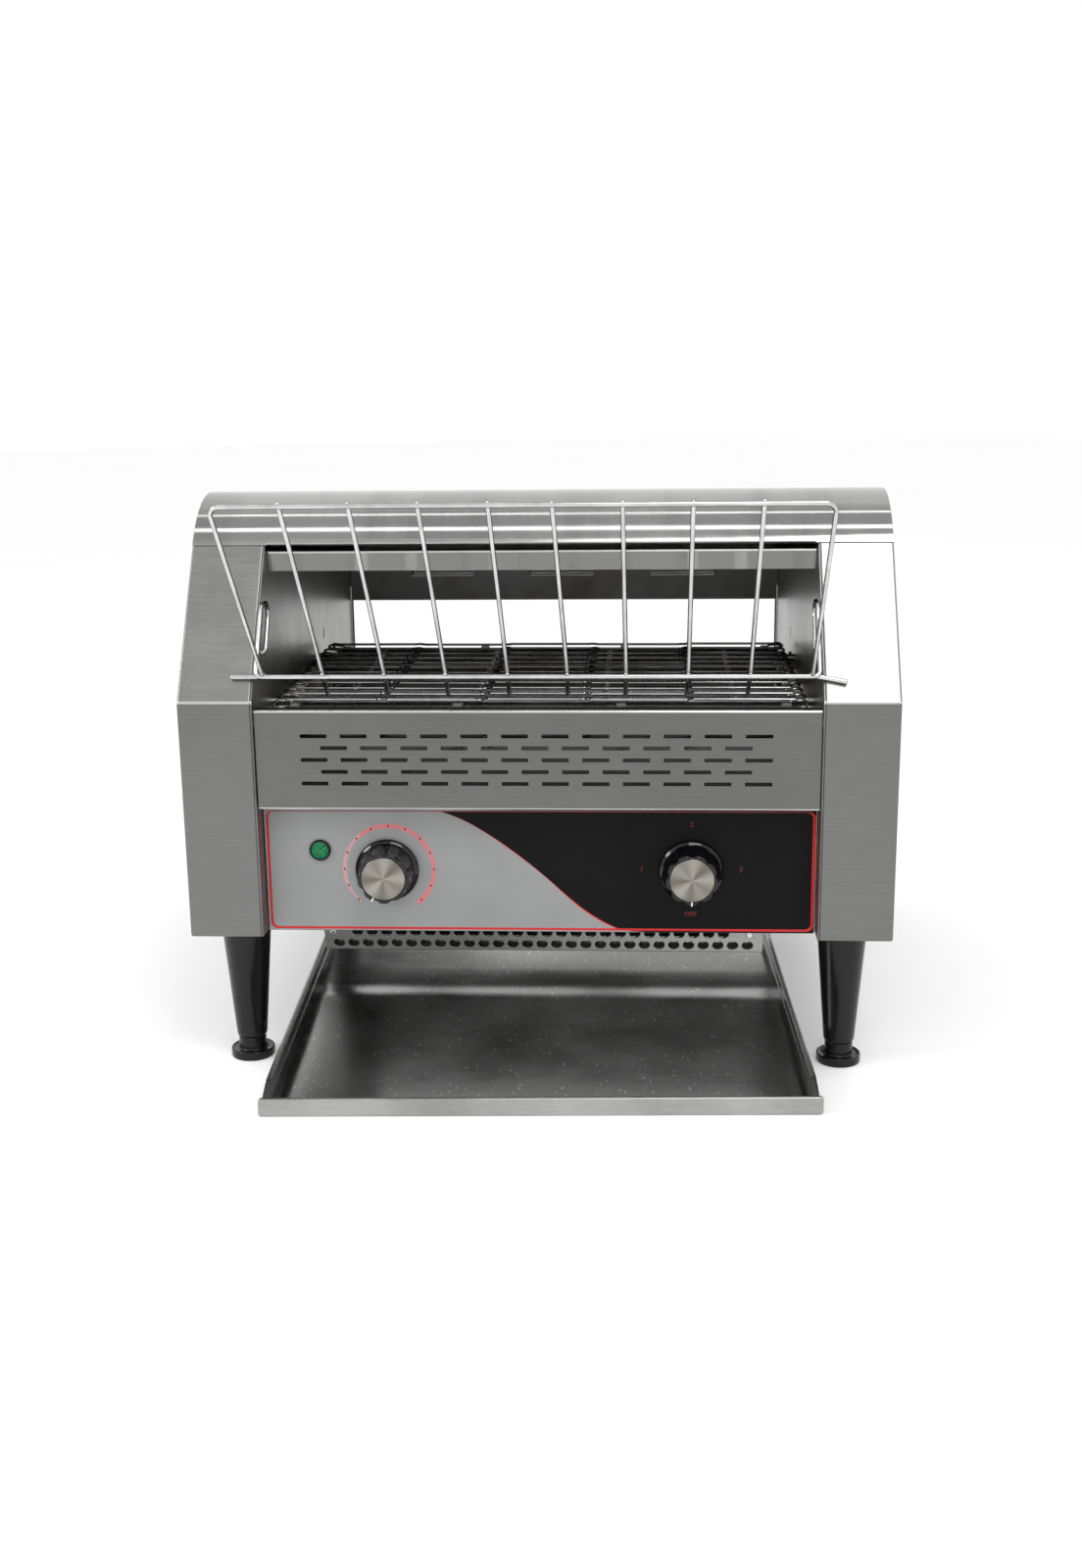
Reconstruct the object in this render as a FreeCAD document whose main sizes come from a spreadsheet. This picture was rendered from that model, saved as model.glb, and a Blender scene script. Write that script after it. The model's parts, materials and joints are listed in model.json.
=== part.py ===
import FreeCAD, Part
import math
import os
import Sketcher

V = FreeCAD.Vector
doc = FreeCAD.newDocument("conveyor_toaster")

# ---------------------------------------------------------------- driving sizes
# Machine axes: X to the right seen from the front, Y from the front face of the
# side housings towards the rear, Z up from the surface the feet stand on.
SIZES = [
    ("overall_w", 470), ("body_depth", 418), ("leg_len", 101), ("frame_y", -176.6),
    ("housing_w", 48.5), ("skin", 1.2), ("gap", 0.3),
    ("front_rise", 161.5), ("slant_run", 66.5), ("slant_rise", 94.6),
    ("hood_rad", 72), ("hood_fall", 8), ("rear_rad", 40), ("skirt_low", 178),
    ("chan_half", 185), ("wall_x", 185.3),
    ("rear_y", 411), ("win_half", 183.5), ("win_low", 105), ("win_high", 167),
    ("rslot_len", 56), ("rslot_ht", 7), ("rslot_pitch", 103.5), ("rslot_z", 191),
    ("louvre_y", 2.9), ("louvre_low", 88.6), ("louvre_high", 155.8), ("louvre_back", 13.5),
    ("lslot_len", 17.6), ("lslot_ht", 1.9), ("lslot_pitch", 26.35), ("lslot_row", 8), ("lslot_top", 138.2),
    ("panel_y", 17), ("panel_low", -0.8), ("panel_high", 88), ("panel_flange", 12),
    ("label_t", 0.4), ("label_in", 0.8),
    ("knob_x", 102), ("knob_z", 43.5), ("knob_rad", 21.5), ("knob_ht", 22), ("cap_rad", 14.6), ("cap_t", 1.4),
    ("shaft_rad", 3), ("lamp_x", 147.3), ("lamp_z", 56.8), ("lamp_rad", 6.4),
    ("belly_half", 152.8), ("belly_len", 27), ("belly_tilt", 70), ("belly_y", 41.6), ("belly_t", 1), ("belly_flange", 18),
    ("perf_rad", 3.9), ("perf_pitch", 10.18), ("perf_row", 10.2), ("perf_edge", 5.9),
    ("belt_front", 42), ("belt_rear", 262), ("belt_z", 136.5), ("belt_rad", 17.5), ("belt_half", 178.5),
    ("strand_rad", 0.95), ("strand_n", 28),
    ("axle_rad", 5), ("axle_fit", 0.05), ("bush_rad", 8), ("bush_flange", 11),
    ("drive_x", 195), ("drive_t", 4), ("motor_y", 285), ("motor_z", 60),
    ("refl_y", 70.4), ("refl_low", 237.9), ("refl_high", 252.8), ("refl_rear", 292),
    ("tube_rad", 4), ("tube_half", 179), ("ceramic_rad", 7),
    ("leg_x", 206), ("leg_y", 40), ("leg_y_rear", 385), ("leg_top", 17.2), ("leg_bot", 10.6), ("leg_end", 15.5),
    ("foot_rad", 15.2), ("foot_ht", 6.2), ("neck_rad", 9.6), ("stud_rad", 5), ("stud_top", 62),
    ("tray_half", 181.8), ("tray_front", -58), ("tray_rear", 290), ("tray_side", 17), ("tray_lip", 12.5),
    ("tray_lip_half", 184), ("tray_t", 1.2), ("tray_yaw", 2.2), ("tray_pivot", 50),
    ("wire", 1.5), ("rod", 1.6), ("bend", 1.6),
]
sheet = doc.addObject("Spreadsheet::Sheet", "dims")
for i, (name, value) in enumerate(SIZES, start=1):
    sheet.set("A%d" % i, name)
    sheet.set("B%d" % i, str(value))
    sheet.setAlias("B%d" % i, name)
doc.recompute()


def val(name):
    return float(getattr(sheet, name))


def num(x):
    """The value of a number or of a sheet expression written with cell names."""
    if isinstance(x, (int, float)):
        return float(x)
    return float(sheet_sum(x))


def sheet_sum(text):
    total = 0.0
    for part in text.replace("-", "+-").split("+"):
        part = part.strip()
        if not part:
            continue
        sign = 1.0
        if part.startswith("-"):
            sign, part = -1.0, part[1:].strip()
        product = 1.0
        for bit in part.split("*"):
            bit = bit.strip()
            over = bit.split("/")
            value = val(over[0]) if over[0][0].isalpha() else float(over[0])
            for d in over[1:]:
                value /= val(d) if d[0].isalpha() else float(d)
            product *= value
        total += sign * product
    return total


def bound(x):
    """The same expression as the document reads it, with the sheet's name before each cell."""
    out, word = "", ""
    for ch in str(x) + " ":
        if ch.isalnum() or ch == "_" or (ch == "." and word and not word[0].isalpha()):
            word += ch
            continue
        out += ("dims." + word) if word and word[0].isalpha() else word
        out += ch
        word = ""
    return out.strip()


def tie(obj, prop, x):
    obj.setExpression(prop, bound(x))


# ---------------------------------------------------------------- sketch helpers
ROLES = {"XY": "XY_Plane", "XZ": "XZ_Plane", "YZ": "YZ_Plane"}
NODES = []


def new_body(label):
    b = doc.addObject("PartDesign::Body", "B_" + label)
    b.Label = label
    NODES.append(b)
    return b


def origin_plane(b, which):
    for f in b.Origin.OriginFeatures:
        if f.Role == ROLES[which]:
            return f
    raise RuntimeError("no plane " + which)


def sketch(b, which, at=0):
    """A sketch on one of the body's planes, moved along that plane's axis to the given place."""
    s = b.newObject("Sketcher::SketchObject", b.Label + "_sk")
    s.AttachmentSupport = [(origin_plane(b, which), "")]
    s.MapMode = "FlatFace"
    flip = -1.0 if which == "XZ" else 1.0
    s.AttachmentOffset = FreeCAD.Placement(V(0, 0, flip * num(at)), FreeCAD.Rotation())
    if isinstance(at, str):
        e = bound(at)
        s.setExpression("AttachmentOffset.Base.z", ("-(%s)" % e) if flip < 0 else e)
    return s


def rect(s, x0, y0, x1, y1):
    a, b, c, d = num(x0), num(y0), num(x1), num(y1)
    p = [V(a, b, 0), V(c, b, 0), V(c, d, 0), V(a, d, 0)]
    g = [s.addGeometry(Part.LineSegment(p[i], p[(i + 1) % 4]), False) for i in range(4)]
    for i in range(4):
        s.addConstraint(Sketcher.Constraint("Coincident", g[i], 2, g[(i + 1) % 4], 1))
    for i in (0, 2):
        s.addConstraint(Sketcher.Constraint("Horizontal", g[i]))
    for i in (1, 3):
        s.addConstraint(Sketcher.Constraint("Vertical", g[i]))
    for kind, geo, pt, x in (("DistanceX", g[0], 1, x0), ("DistanceY", g[0], 1, y0), ("DistanceX", g[2], 1, x1), ("DistanceY", g[2], 1, y1)):
        k = s.addConstraint(Sketcher.Constraint(kind, -1, 1, geo, pt, num(x)))
        if isinstance(x, str):
            s.setExpression("Constraints[%d]" % k, bound(x))
    return g


def circle(s, cx, cy, r):
    g = s.addGeometry(Part.Circle(V(num(cx), num(cy), 0), V(0, 0, 1), num(r)), False)
    k = s.addConstraint(Sketcher.Constraint("Radius", g, num(r)))
    if isinstance(r, str):
        s.setExpression("Constraints[%d]" % k, bound(r))
    for kind, x in (("DistanceX", cx), ("DistanceY", cy)):
        k = s.addConstraint(Sketcher.Constraint(kind, -1, 1, g, 3, num(x)))
        if isinstance(x, str):
            s.setExpression("Constraints[%d]" % k, bound(x))
    return g


def slot(s, cx, cy, length, height):
    """A rounded slot lying along the sketch's first axis."""
    x, y, l, r = num(cx), num(cy), num(length), num(height) / 2
    a = x - l / 2 + r
    c = x + l / 2 - r
    top = s.addGeometry(Part.LineSegment(V(a, y + r, 0), V(c, y + r, 0)), False)
    right = s.addGeometry(Part.ArcOfCircle(Part.Circle(V(c, y, 0), V(0, 0, 1), r), -math.pi / 2, math.pi / 2), False)
    low = s.addGeometry(Part.LineSegment(V(c, y - r, 0), V(a, y - r, 0)), False)
    left = s.addGeometry(Part.ArcOfCircle(Part.Circle(V(a, y, 0), V(0, 0, 1), r), math.pi / 2, 1.5 * math.pi), False)
    s.addConstraint(Sketcher.Constraint("Tangent", top, 2, right, 2))
    s.addConstraint(Sketcher.Constraint("Tangent", right, 1, low, 1))
    s.addConstraint(Sketcher.Constraint("Tangent", low, 2, left, 2))
    s.addConstraint(Sketcher.Constraint("Tangent", left, 1, top, 1))
    s.addConstraint(Sketcher.Constraint("Horizontal", top))


def chain(s, pieces):
    """A closed outline of ("line", p, q) and ("arc", p, middle, q) pieces, joined end to end."""
    ids = []
    for piece in pieces:
        if piece[0] == "line":
            ids.append((s.addGeometry(Part.LineSegment(V(*piece[1], 0), V(*piece[2], 0)), False), 1, 2))
        else:
            (ax, ay), (bx, by), (cx, cy) = piece[1:]
            d = 2 * (ax * (by - cy) + bx * (cy - ay) + cx * (ay - by))
            ux = ((ax * ax + ay * ay) * (by - cy) + (bx * bx + by * by) * (cy - ay) + (cx * cx + cy * cy) * (ay - by)) / d
            uy = ((ax * ax + ay * ay) * (cx - bx) + (bx * bx + by * by) * (ax - cx) + (cx * cx + cy * cy) * (bx - ax)) / d
            left_turn = (bx - ax) * (cy - by) - (by - ay) * (cx - bx) > 0
            t0, t1 = math.atan2(ay - uy, ax - ux), math.atan2(cy - uy, cx - ux)
            if not left_turn:
                t0, t1 = t1, t0
            while t1 < t0:
                t1 += 2 * math.pi
            g = s.addGeometry(Part.ArcOfCircle(Part.Circle(V(ux, uy, 0), V(0, 0, 1), math.hypot(ax - ux, ay - uy)), t0, t1), False)
            ids.append((g, 1, 2) if left_turn else (g, 2, 1))
    for i, (g, a, b) in enumerate(ids):
        h, c, d = ids[(i + 1) % len(ids)]
        s.addConstraint(Sketcher.Constraint("Coincident", g, b, h, c))
    return ids


def loop(points):
    return [("line", points[i], points[(i + 1) % len(points)]) for i in range(len(points))]


def sound(b, f):
    if not b.Shape.isValid():
        raise RuntimeError("%s is not valid after %s" % (b.Label, f.Name))


def pad(b, s, length, back=False, mid=False):
    f = b.newObject("PartDesign::Pad", b.Label + "_pad")
    f.Profile = s
    f.Length = num(length)
    tie(f, "Length", length)
    f.Reversed = back
    f.Midplane = mid
    s.Visibility = False
    doc.recompute()
    sound(b, f)
    return f


def pocket(b, s, depth, back=False, mid=False):
    before = b.Shape.Volume
    f = b.newObject("PartDesign::Pocket", b.Label + "_pocket")
    f.Profile = s
    f.Length = num(depth)
    tie(f, "Length", depth)
    f.Reversed = back
    f.Midplane = mid
    doc.recompute()
    if not b.Shape.Volume < before - 1e-3:
        f.Reversed = not back
        doc.recompute()
        if not b.Shape.Volume < before - 1e-3:
            raise RuntimeError("a pocket of %s cuts nothing" % b.Label)
    sound(b, f)
    return f


def pattern(b, feature, s, axis, length, count):
    f = b.newObject("PartDesign::LinearPattern", b.Label + "_row")
    f.Originals = [feature]
    f.Direction = (s, [axis])
    f.Length = num(length)
    tie(f, "Length", length)
    f.Occurrences = count
    b.Tip = f
    doc.recompute()
    sound(b, f)
    return f


def revolve(b, s, axis="V_Axis"):
    f = b.newObject("PartDesign::Revolution", b.Label + "_rev")
    f.Profile = s
    f.ReferenceAxis = (s, [axis])
    f.Angle = 360
    doc.recompute()
    return f


def settle(obj, x=0, y=0, z=0, rot=None):
    """Puts a finished piece in the object's frame: machine place plus the frame's own offset along Y."""
    r = rot or FreeCAD.Rotation()
    obj.Placement = FreeCAD.Placement(V(num(x), num(y) + val("frame_y"), num(z)), r)
    if x:
        obj.setExpression("Placement.Base.x", bound(x))
    obj.setExpression("Placement.Base.y", "dims.frame_y" + (" + " + bound(y) if y else ""))
    if z:
        obj.setExpression("Placement.Base.z", bound(z))
    return obj


def feature(label, shape):
    """A sub-part whose shape is worked out here from the sheet's values."""
    f = doc.addObject("Part::Feature", "F_" + label)
    f.Label = label
    f.Shape = shape
    NODES.append(f)
    settle(f)
    return f


def rod_x(x0, x1, y, z, r):
    return Part.makeCylinder(r, x1 - x0, V(x0, y, z), V(1, 0, 0))


# ---------------------------------------------------------------- the side outline
B0 = val("leg_len")
W2 = val("overall_w") / 2
T = val("skin")
ang = math.atan2(val("slant_rise"), val("slant_run"))
nin = (math.sin(ang), -math.cos(ang))                     # into the machine, square to the slanted face
C0 = (val("slant_run"), B0 + val("front_rise") + val("slant_rise"))
R1 = val("hood_rad")
cen1 = (C0[0] + nin[0] * R1, C0[1] + nin[1] * R1)
fall = math.radians(val("hood_fall"))
R2 = val("rear_rad")
cen2y = val("body_depth") - R2
D0 = (cen1[0] + R1 * math.sin(fall), cen1[1] + R1 * math.cos(fall))
cen2 = (cen2y, D0[1] - (cen2y - D0[0]) * math.tan(fall) - R2 / math.cos(fall))


def at_arc(c, r, a):
    """The point of an arc whose tangent falls at angle a, counted from level, towards the rear."""
    return (c[0] + r * math.sin(a), c[1] + r * math.cos(a))


def top_run(d):
    """The roof line, d below the hood's outer skin, from the slanted face to the rear wall."""
    a0 = -ang
    r1, r2 = R1 - d, R2 - d
    p = [at_arc(cen1, r1, a0), at_arc(cen1, r1, (a0 + fall) / 2), at_arc(cen1, r1, fall)]
    q = [at_arc(cen2, r2, fall), at_arc(cen2, r2, (fall + math.pi / 2) / 2), at_arc(cen2, r2, math.pi / 2)]
    return p, q


def outline(df, dt, db):
    """The side outline, df inside the front faces, dt inside the roof and rear, db above the underside."""
    p, q = top_run(dt)
    a = (df, B0 + db)
    shift = df * (1 - nin[0]) / math.cos(ang) if math.cos(ang) else 0
    b = (df, B0 + val("front_rise") + df * nin[1] + (df - df * nin[0]) * math.tan(ang))
    c = (C0[0] + nin[0] * df, C0[1] + nin[1] * df)
    rear = val("body_depth") - dt
    out = [("line", a, b), ("line", b, c)]
    if abs(dt - df) > 1e-6:
        out.append(("line", c, p[0]))
    out += [("arc", p[0], p[1], p[2]), ("line", p[2], q[0]), ("arc", q[0], q[1], q[2]), ("line", q[2], (rear, B0 + db)), ("line", (rear, B0 + db), a)]
    return out


# ---------------------------------------------------------------- casings
DT = T + val("gap")


def round_folds(b, base, x, radius):
    """Rounds the front, slanted and lower folds of the side face that lies at x."""
    names = []
    for i, e in enumerate(base.Shape.Edges, start=1):
        box = e.BoundBox
        if abs(box.XMin - x) < 1e-4 and abs(box.XMax - x) < 1e-4 and isinstance(e.Curve, Part.Line):
            c = e.CenterOfMass
            if c.y < val("slant_run") or c.z < B0 + 1:
                names.append("Edge%d" % i)
    f = b.newObject("PartDesign::Fillet", b.Label + "_folds")
    f.Base = (base, names)
    f.Radius = num(radius)
    tie(f, "Radius", radius)
    doc.recompute()
    sound(b, f)
    return f


def side_housing(label, sgn):
    b = new_body(label)
    s = sketch(b, "YZ", "overall_w/2" if sgn > 0 else "-overall_w/2")
    chain(s, outline(0, DT, 0))
    block = pad(b, s, "housing_w", back=sgn > 0)
    round_folds(b, block, sgn * val("overall_w") / 2, "bend")
    round_folds(b, b.Tip, sgn * (val("overall_w") / 2 - val("housing_w")), "skin")
    s = sketch(b, "YZ", "overall_w/2-housing_w" if sgn > 0 else "-overall_w/2+housing_w")
    chain(s, outline(T, DT + T, T))
    pocket(b, s, "housing_w-skin", back=sgn > 0)
    # two rows of cooling slots in the outer side
    for row, z in enumerate((60, 84)):
        s = sketch(b, "YZ", "overall_w/2" if sgn > 0 else "-overall_w/2")
        z0 = B0 + z
        rect(s, 150, z0, 154, z0 + 16)
        f = pocket(b, s, 3, back=sgn < 0)
        pattern(b, f, s, "H_Axis", 14 * 11, 15)
    # clearance holes for the two leg bolts in the floor of the housing
    s = sketch(b, "XY", "leg_len")
    for y in ("leg_y", "leg_y_rear"):
        circle(s, "leg_x" if sgn > 0 else "-leg_x", y, 4.2)
    pocket(b, s, 3, back=True)
    return settle(b)


side_housing("side_housing_left", -1)
side_housing("side_housing_right", 1)


def inner_wall(label, sgn):
    b = new_body(label)
    s = sketch(b, "YZ", "wall_x" if sgn > 0 else "-wall_x")
    chain(s, outline(0, DT, 0))
    pad(b, s, "skin", back=sgn < 0)
    s = sketch(b, "YZ", "wall_x" if sgn > 0 else "-wall_x")
    circle(s, "belt_front", "leg_len+belt_z", "bush_rad")
    circle(s, "belt_rear", "leg_len+belt_z", "bush_rad")
    circle(s, 38.5, "leg_len+187.6", "wire+axle_fit")
    pocket(b, s, 3, back=sgn > 0)
    return settle(b)


inner_wall("inner_wall_left", -1)
inner_wall("inner_wall_right", 1)

# hood: one rolled sheet from the slanted faces over the roof and down the rear
hood = new_body("hood")
s = sketch(hood, "YZ", "-overall_w/2")
po, qo = top_run(0)
pi_, qi = top_run(T)
low_o = (val("body_depth"), B0 + val("skirt_low"))
low_i = (val("body_depth") - T, B0 + val("skirt_low"))
chain(s, [("arc", po[0], po[1], po[2]), ("line", po[2], qo[0]), ("arc", qo[0], qo[1], qo[2]), ("line", qo[2], low_o), ("line", low_o, low_i),
          ("line", low_i, qi[2]), ("arc", qi[2], qi[1], qi[0]), ("line", qi[0], pi_[2]), ("arc", pi_[2], pi_[1], pi_[0]), ("line", pi_[0], po[0])])
pad(hood, s, "overall_w")
# the turned-in lip of the hood between the housings
s = sketch(hood, "YZ", "-chan_half")
tdir = (math.cos(ang), math.sin(ang))
h0 = C0
h1 = (C0[0] + nin[0] * 6, C0[1] + nin[1] * 6)
h2 = (h1[0] + tdir[0] * T, h1[1] + tdir[1] * T)
h3 = (C0[0] + tdir[0] * T, C0[1] + tdir[1] * T)
chain(s, loop([h0, h1, h2, h3]))
pad(hood, s, "2*chan_half")
settle(hood)

# rear panel with the sight window, three vent slots and the inlet hole
b = new_body("rear_panel")
s = sketch(b, "XZ", "rear_y")
rect(s, "-chan_half", "leg_len+0", "chan_half", "leg_len+226")
pad(b, s, "skin", back=True)
s = sketch(b, "XZ", "rear_y")
rect(s, "-win_half", "leg_len+win_low", "win_half", "leg_len+win_high")
pocket(b, s, 4, back=True)
s = sketch(b, "XZ", "rear_y")
slot(s, -val("rslot_pitch"), B0 + val("rslot_z"), "rslot_len", "rslot_ht")
f = pocket(b, s, 4, back=True)
pattern(b, f, s, "H_Axis", "2*rslot_pitch", 3)
s = sketch(b, "XZ", "rear_y")
circle(s, 150, "leg_len+34", 8.2)
pocket(b, s, 4, back=True)
s = sketch(b, "XZ", "rear_y")
slot(s, -120, B0 + 22, 30, 3)
f = pocket(b, s, 4, back=True)
pattern(b, f, s, "H_Axis", 160, 5)
settle(b)

# slotted front panel under the bread opening, folded back at its top and bottom edges
b = new_body("front_louvre_panel")
s = sketch(b, "YZ", "-chan_half")
y0, y1 = val("louvre_y"), val("louvre_y") + val("louvre_back")
z0, z1 = B0 + val("louvre_low"), B0 + val("louvre_high")
r = 1.6
ri = r - 1.0
k = math.sqrt(0.5)
chain(s, [("line", (y0, z0), (y0, z1 - r)), ("arc", (y0, z1 - r), (y0 + r - r * k, z1 - r + r * k), (y0 + r, z1)), ("line", (y0 + r, z1), (y0 + 9, z1)),
          ("line", (y0 + 9, z1), (y0 + 9, z1 - 1)), ("line", (y0 + 9, z1 - 1), (y0 + r, z1 - 1)),
          ("arc", (y0 + r, z1 - 1), (y0 + r - ri * k, z1 - r + ri * k), (y0 + 1, z1 - r)), ("line", (y0 + 1, z1 - r), (y0 + 1, z0 + 1)),
          ("line", (y0 + 1, z0 + 1), (y1, z0 + 1)), ("line", (y1, z0 + 1), (y1, z0)), ("line", (y1, z0), (y0, z0))])
pad(b, s, "2*chan_half")
for row in range(5):
    s = sketch(b, "XZ", 0)
    n = 12 if row % 2 == 0 else 11
    slot(s, -val("lslot_pitch") * (n - 1) / 2.0, B0 + val("lslot_top") - row * val("lslot_row"), "lslot_len", "lslot_ht")
    f = pocket(b, s, 5, back=True)
    pattern(b, f, s, "H_Axis", "%d*lslot_pitch" % (n - 1), n)
settle(b)

# control panel, set back between the housings
b = new_body("control_panel")
s = sketch(b, "YZ", "-chan_half")
y0 = val("panel_y")
z0, z1 = B0 + val("panel_low"), B0 + val("panel_high")
fl = val("panel_flange")
chain(s, loop([(y0, z0), (y0, z1), (y0 + fl, z1), (y0 + fl, z1 - T), (y0 + T, z1 - T), (y0 + T, z0 + T), (y0 + fl, z0 + T), (y0 + fl, z0)]))
pad(b, s, "2*chan_half")
s = sketch(b, "XZ", "panel_y")
circle(s, "-knob_x", "leg_len+knob_z", 5)
circle(s, "knob_x", "leg_len+knob_z", 5)
circle(s, "-lamp_x", "leg_len+lamp_z", "lamp_rad-0.6")
pocket(b, s, 3, back=True)
settle(b)

# printed label that covers the control panel
b = new_body("control_label")
s = sketch(b, "XZ", "panel_y")
rect(s, "-chan_half+label_in", "leg_len+panel_low+label_in", "chan_half-label_in", "leg_len+panel_high-label_in")
circle(s, "-knob_x", "leg_len+knob_z", 5.5)
circle(s, "knob_x", "leg_len+knob_z", 5.5)
circle(s, "-lamp_x", "leg_len+lamp_z", "lamp_rad-0.6")
pad(b, s, "label_t")
settle(b)

# perforated belly plate under the control panel, folded back at its lower edge
tilt = math.radians(val("belly_tilt"))
ct, st_ = math.cos(tilt), math.sin(tilt)
b = new_body("belly_plate")
s = sketch(b, "YZ", "-belly_half")
bl, bt, fl = val("belly_len"), val("belly_t"), val("belly_flange")
chain(s, loop([(0, 0), (bl, 0), (bl + fl * ct, fl * st_), (bl + fl * ct - bt * st_, fl * st_ + bt * ct), (bl - bt / math.tan((math.pi - tilt) / 2) - 0.0, bt), (0, bt)]))
pad(b, s, "2*belly_half")
for row, (count, mid) in enumerate(((29, -0.3), (26, -1.8))):
    s = sketch(b, "XY", 0)
    circle(s, mid - val("perf_pitch") * (count - 1) / 2.0, bl - val("perf_edge") - row * val("perf_row"), "perf_rad")
    f = pocket(b, s, 1.5, back=True)
    pattern(b, f, s, "H_Axis", "%d*perf_pitch" % (count - 1), count)
settle(b, 0, "belly_y", "leg_len-0.9", FreeCAD.Rotation(V(1, 0, 0), -val("belly_tilt")))

# guide plate behind it: keeps the falling slices off the control box
end = (val("belly_y") + bl * ct + fl, B0 - 0.9 - bl * st_)
b = new_body("guide_plate")
s = sketch(b, "YZ", "-belly_half")
g0 = (end[0] + 0.8, end[1])
g1 = (g0[0] + 10, g0[1])
g2 = (236, B0 + 96)
chain(s, loop([g0, g1, g2, (g2[0] - 1.3, g2[1]), (g1[0] - 0.6, g1[1] + 1), (g0[0], g0[1] + 1)]))
pad(b, s, "2*belly_half")
settle(b)

# heat shield over the control box, under the lower run of the belt
b = new_body("heat_shield")
s = sketch(b, "YZ", "-chan_half")
chain(s, loop([(20, B0 + 98), (20, B0 + 99.2), (252, B0 + 99.2), (252, B0 + 92), (250.8, B0 + 92), (250.8, B0 + 98)]))
pad(b, s, "2*chan_half")
settle(b)

# chute that turns the falling slices back to the front
b = new_body("toast_chute")
s = sketch(b, "YZ", "-chan_half")
c0, c1, c2, c3 = (410.7, B0 + 100), (410.7, B0 + 84), (274, B0 - 67), (262, B0 - 75)
ux, uz = (c2[0] - c1[0]), (c2[1] - c1[1])
L = math.hypot(ux, uz)
nx, nz = -uz / L, ux / L
chain(s, loop([c0, c1, c2, c3, (c3[0] - 0.4, c3[1] + 1.0), (c2[0] + nx * -0.9 - 0.6, c2[1] + 0.9), (c1[0] - 1.2, c1[1] + 0.8), (c0[0] - 1.2, c0[1])]))
pad(b, s, "2*chan_half")
settle(b)

# ---------------------------------------------------------------- heating
b = new_body("top_reflector")
s = sketch(b, "YZ", "-chan_half")
y0, y1 = val("refl_y"), val("refl_rear")
z0, z1 = B0 + val("refl_low"), B0 + val("refl_high")
r, ri = 2.2, 1.2
chain(s, [("line", (y0, z0), (y0, z1 - r)), ("arc", (y0, z1 - r), (y0 + r - r * k, z1 - r + r * k), (y0 + r, z1)), ("line", (y0 + r, z1), (y1, z1)),
          ("line", (y1, z1), (y1, z0)), ("line", (y1, z0), (y1 - 1, z0)), ("line", (y1 - 1, z0), (y1 - 1, z1 - 1)), ("line", (y1 - 1, z1 - 1), (y0 + r, z1 - 1)),
          ("arc", (y0 + r, z1 - 1), (y0 + r - ri * k, z1 - r + ri * k), (y0 + 1, z1 - r)), ("line", (y0 + 1, z1 - r), (y0 + 1, z0)), ("line", (y0 + 1, z0), (y0, z0))])
pad(b, s, "2*chan_half")
settle(b)

wx = val("wall_x")
th = val("tube_half")
for name, ys, z in (("upper", (105, 150, 195, 240), B0 + 243.5), ("lower", (92, 152, 212), B0 + val("belt_z"))):
    feature(name + "_heater_tubes", Part.makeCompound([rod_x(-th, th, y, z, val("tube_rad")) for y in ys]))
    ends = []
    for y in ys:
        for sg in (-1, 1):
            ends.append(rod_x(min(sg * th, sg * wx), max(sg * th, sg * wx), y, z, val("ceramic_rad")))
    feature(name + "_heater_ends", Part.makeCompound(ends))

# ---------------------------------------------------------------- conveyor
bf, br, bz, R = val("belt_front"), val("belt_rear"), B0 + val("belt_z"), val("belt_rad")
span = br - bf
total = 2 * span + 2 * math.pi * R
n = int(val("strand_n"))


def on_belt(d):
    """Place along the belt's loop: from the front of the upper run, over the rear roller and back underneath."""
    d = d % total
    if d < span:
        return bf + d, bz + R
    d -= span
    if d < math.pi * R:
        return br + R * math.sin(d / R), bz + R * math.cos(d / R)
    d -= math.pi * R
    if d < span:
        return br - d, bz - R
    d -= span
    return bf - R * math.sin(d / R), bz - R * math.cos(d / R)


hb = val("belt_half")
sr = val("strand_rad")
feature("wire_belt", Part.makeCompound([rod_x(-hb, hb, *on_belt(total * i / n + 3.0), sr) for i in range(n)]))

# runners that carry the upper run: two cross bars with four lengthwise rods on them
zr = bz + R - sr - 0.4
rails = [rod_x(-wx, wx, y, zr - 5.2, 3) for y in (72, 236)]
for x in (-132, -44, 44, 132):
    rails.append(Part.makeCylinder(1.6, 176, V(x, 66, zr - 1.7), V(0, 1, 0)))
shape = rails[0].multiFuse(rails[1:])
feature("belt_runners", shape.removeSplitter())


def toothed(x0, x1, y, z, r_root, r_tip, teeth, bore):
    pts = []
    for i in range(teeth):
        a = 2 * math.pi * i / teeth
        for da, rr in ((-0.32, r_root), (-0.14, r_tip), (0.14, r_tip), (0.32, r_root)):
            t = a + da * 2 * math.pi / teeth * 1.0
            pts.append(V(x0, y + rr * math.sin(t), z + rr * math.cos(t)))
    pts.append(pts[0])
    face = Part.Face(Part.makePolygon(pts))
    body_ = face.extrude(V(x1 - x0, 0, 0))
    return body_.cut(rod_x(x0 - 1, x1 + 1, y, z, bore))


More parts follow.
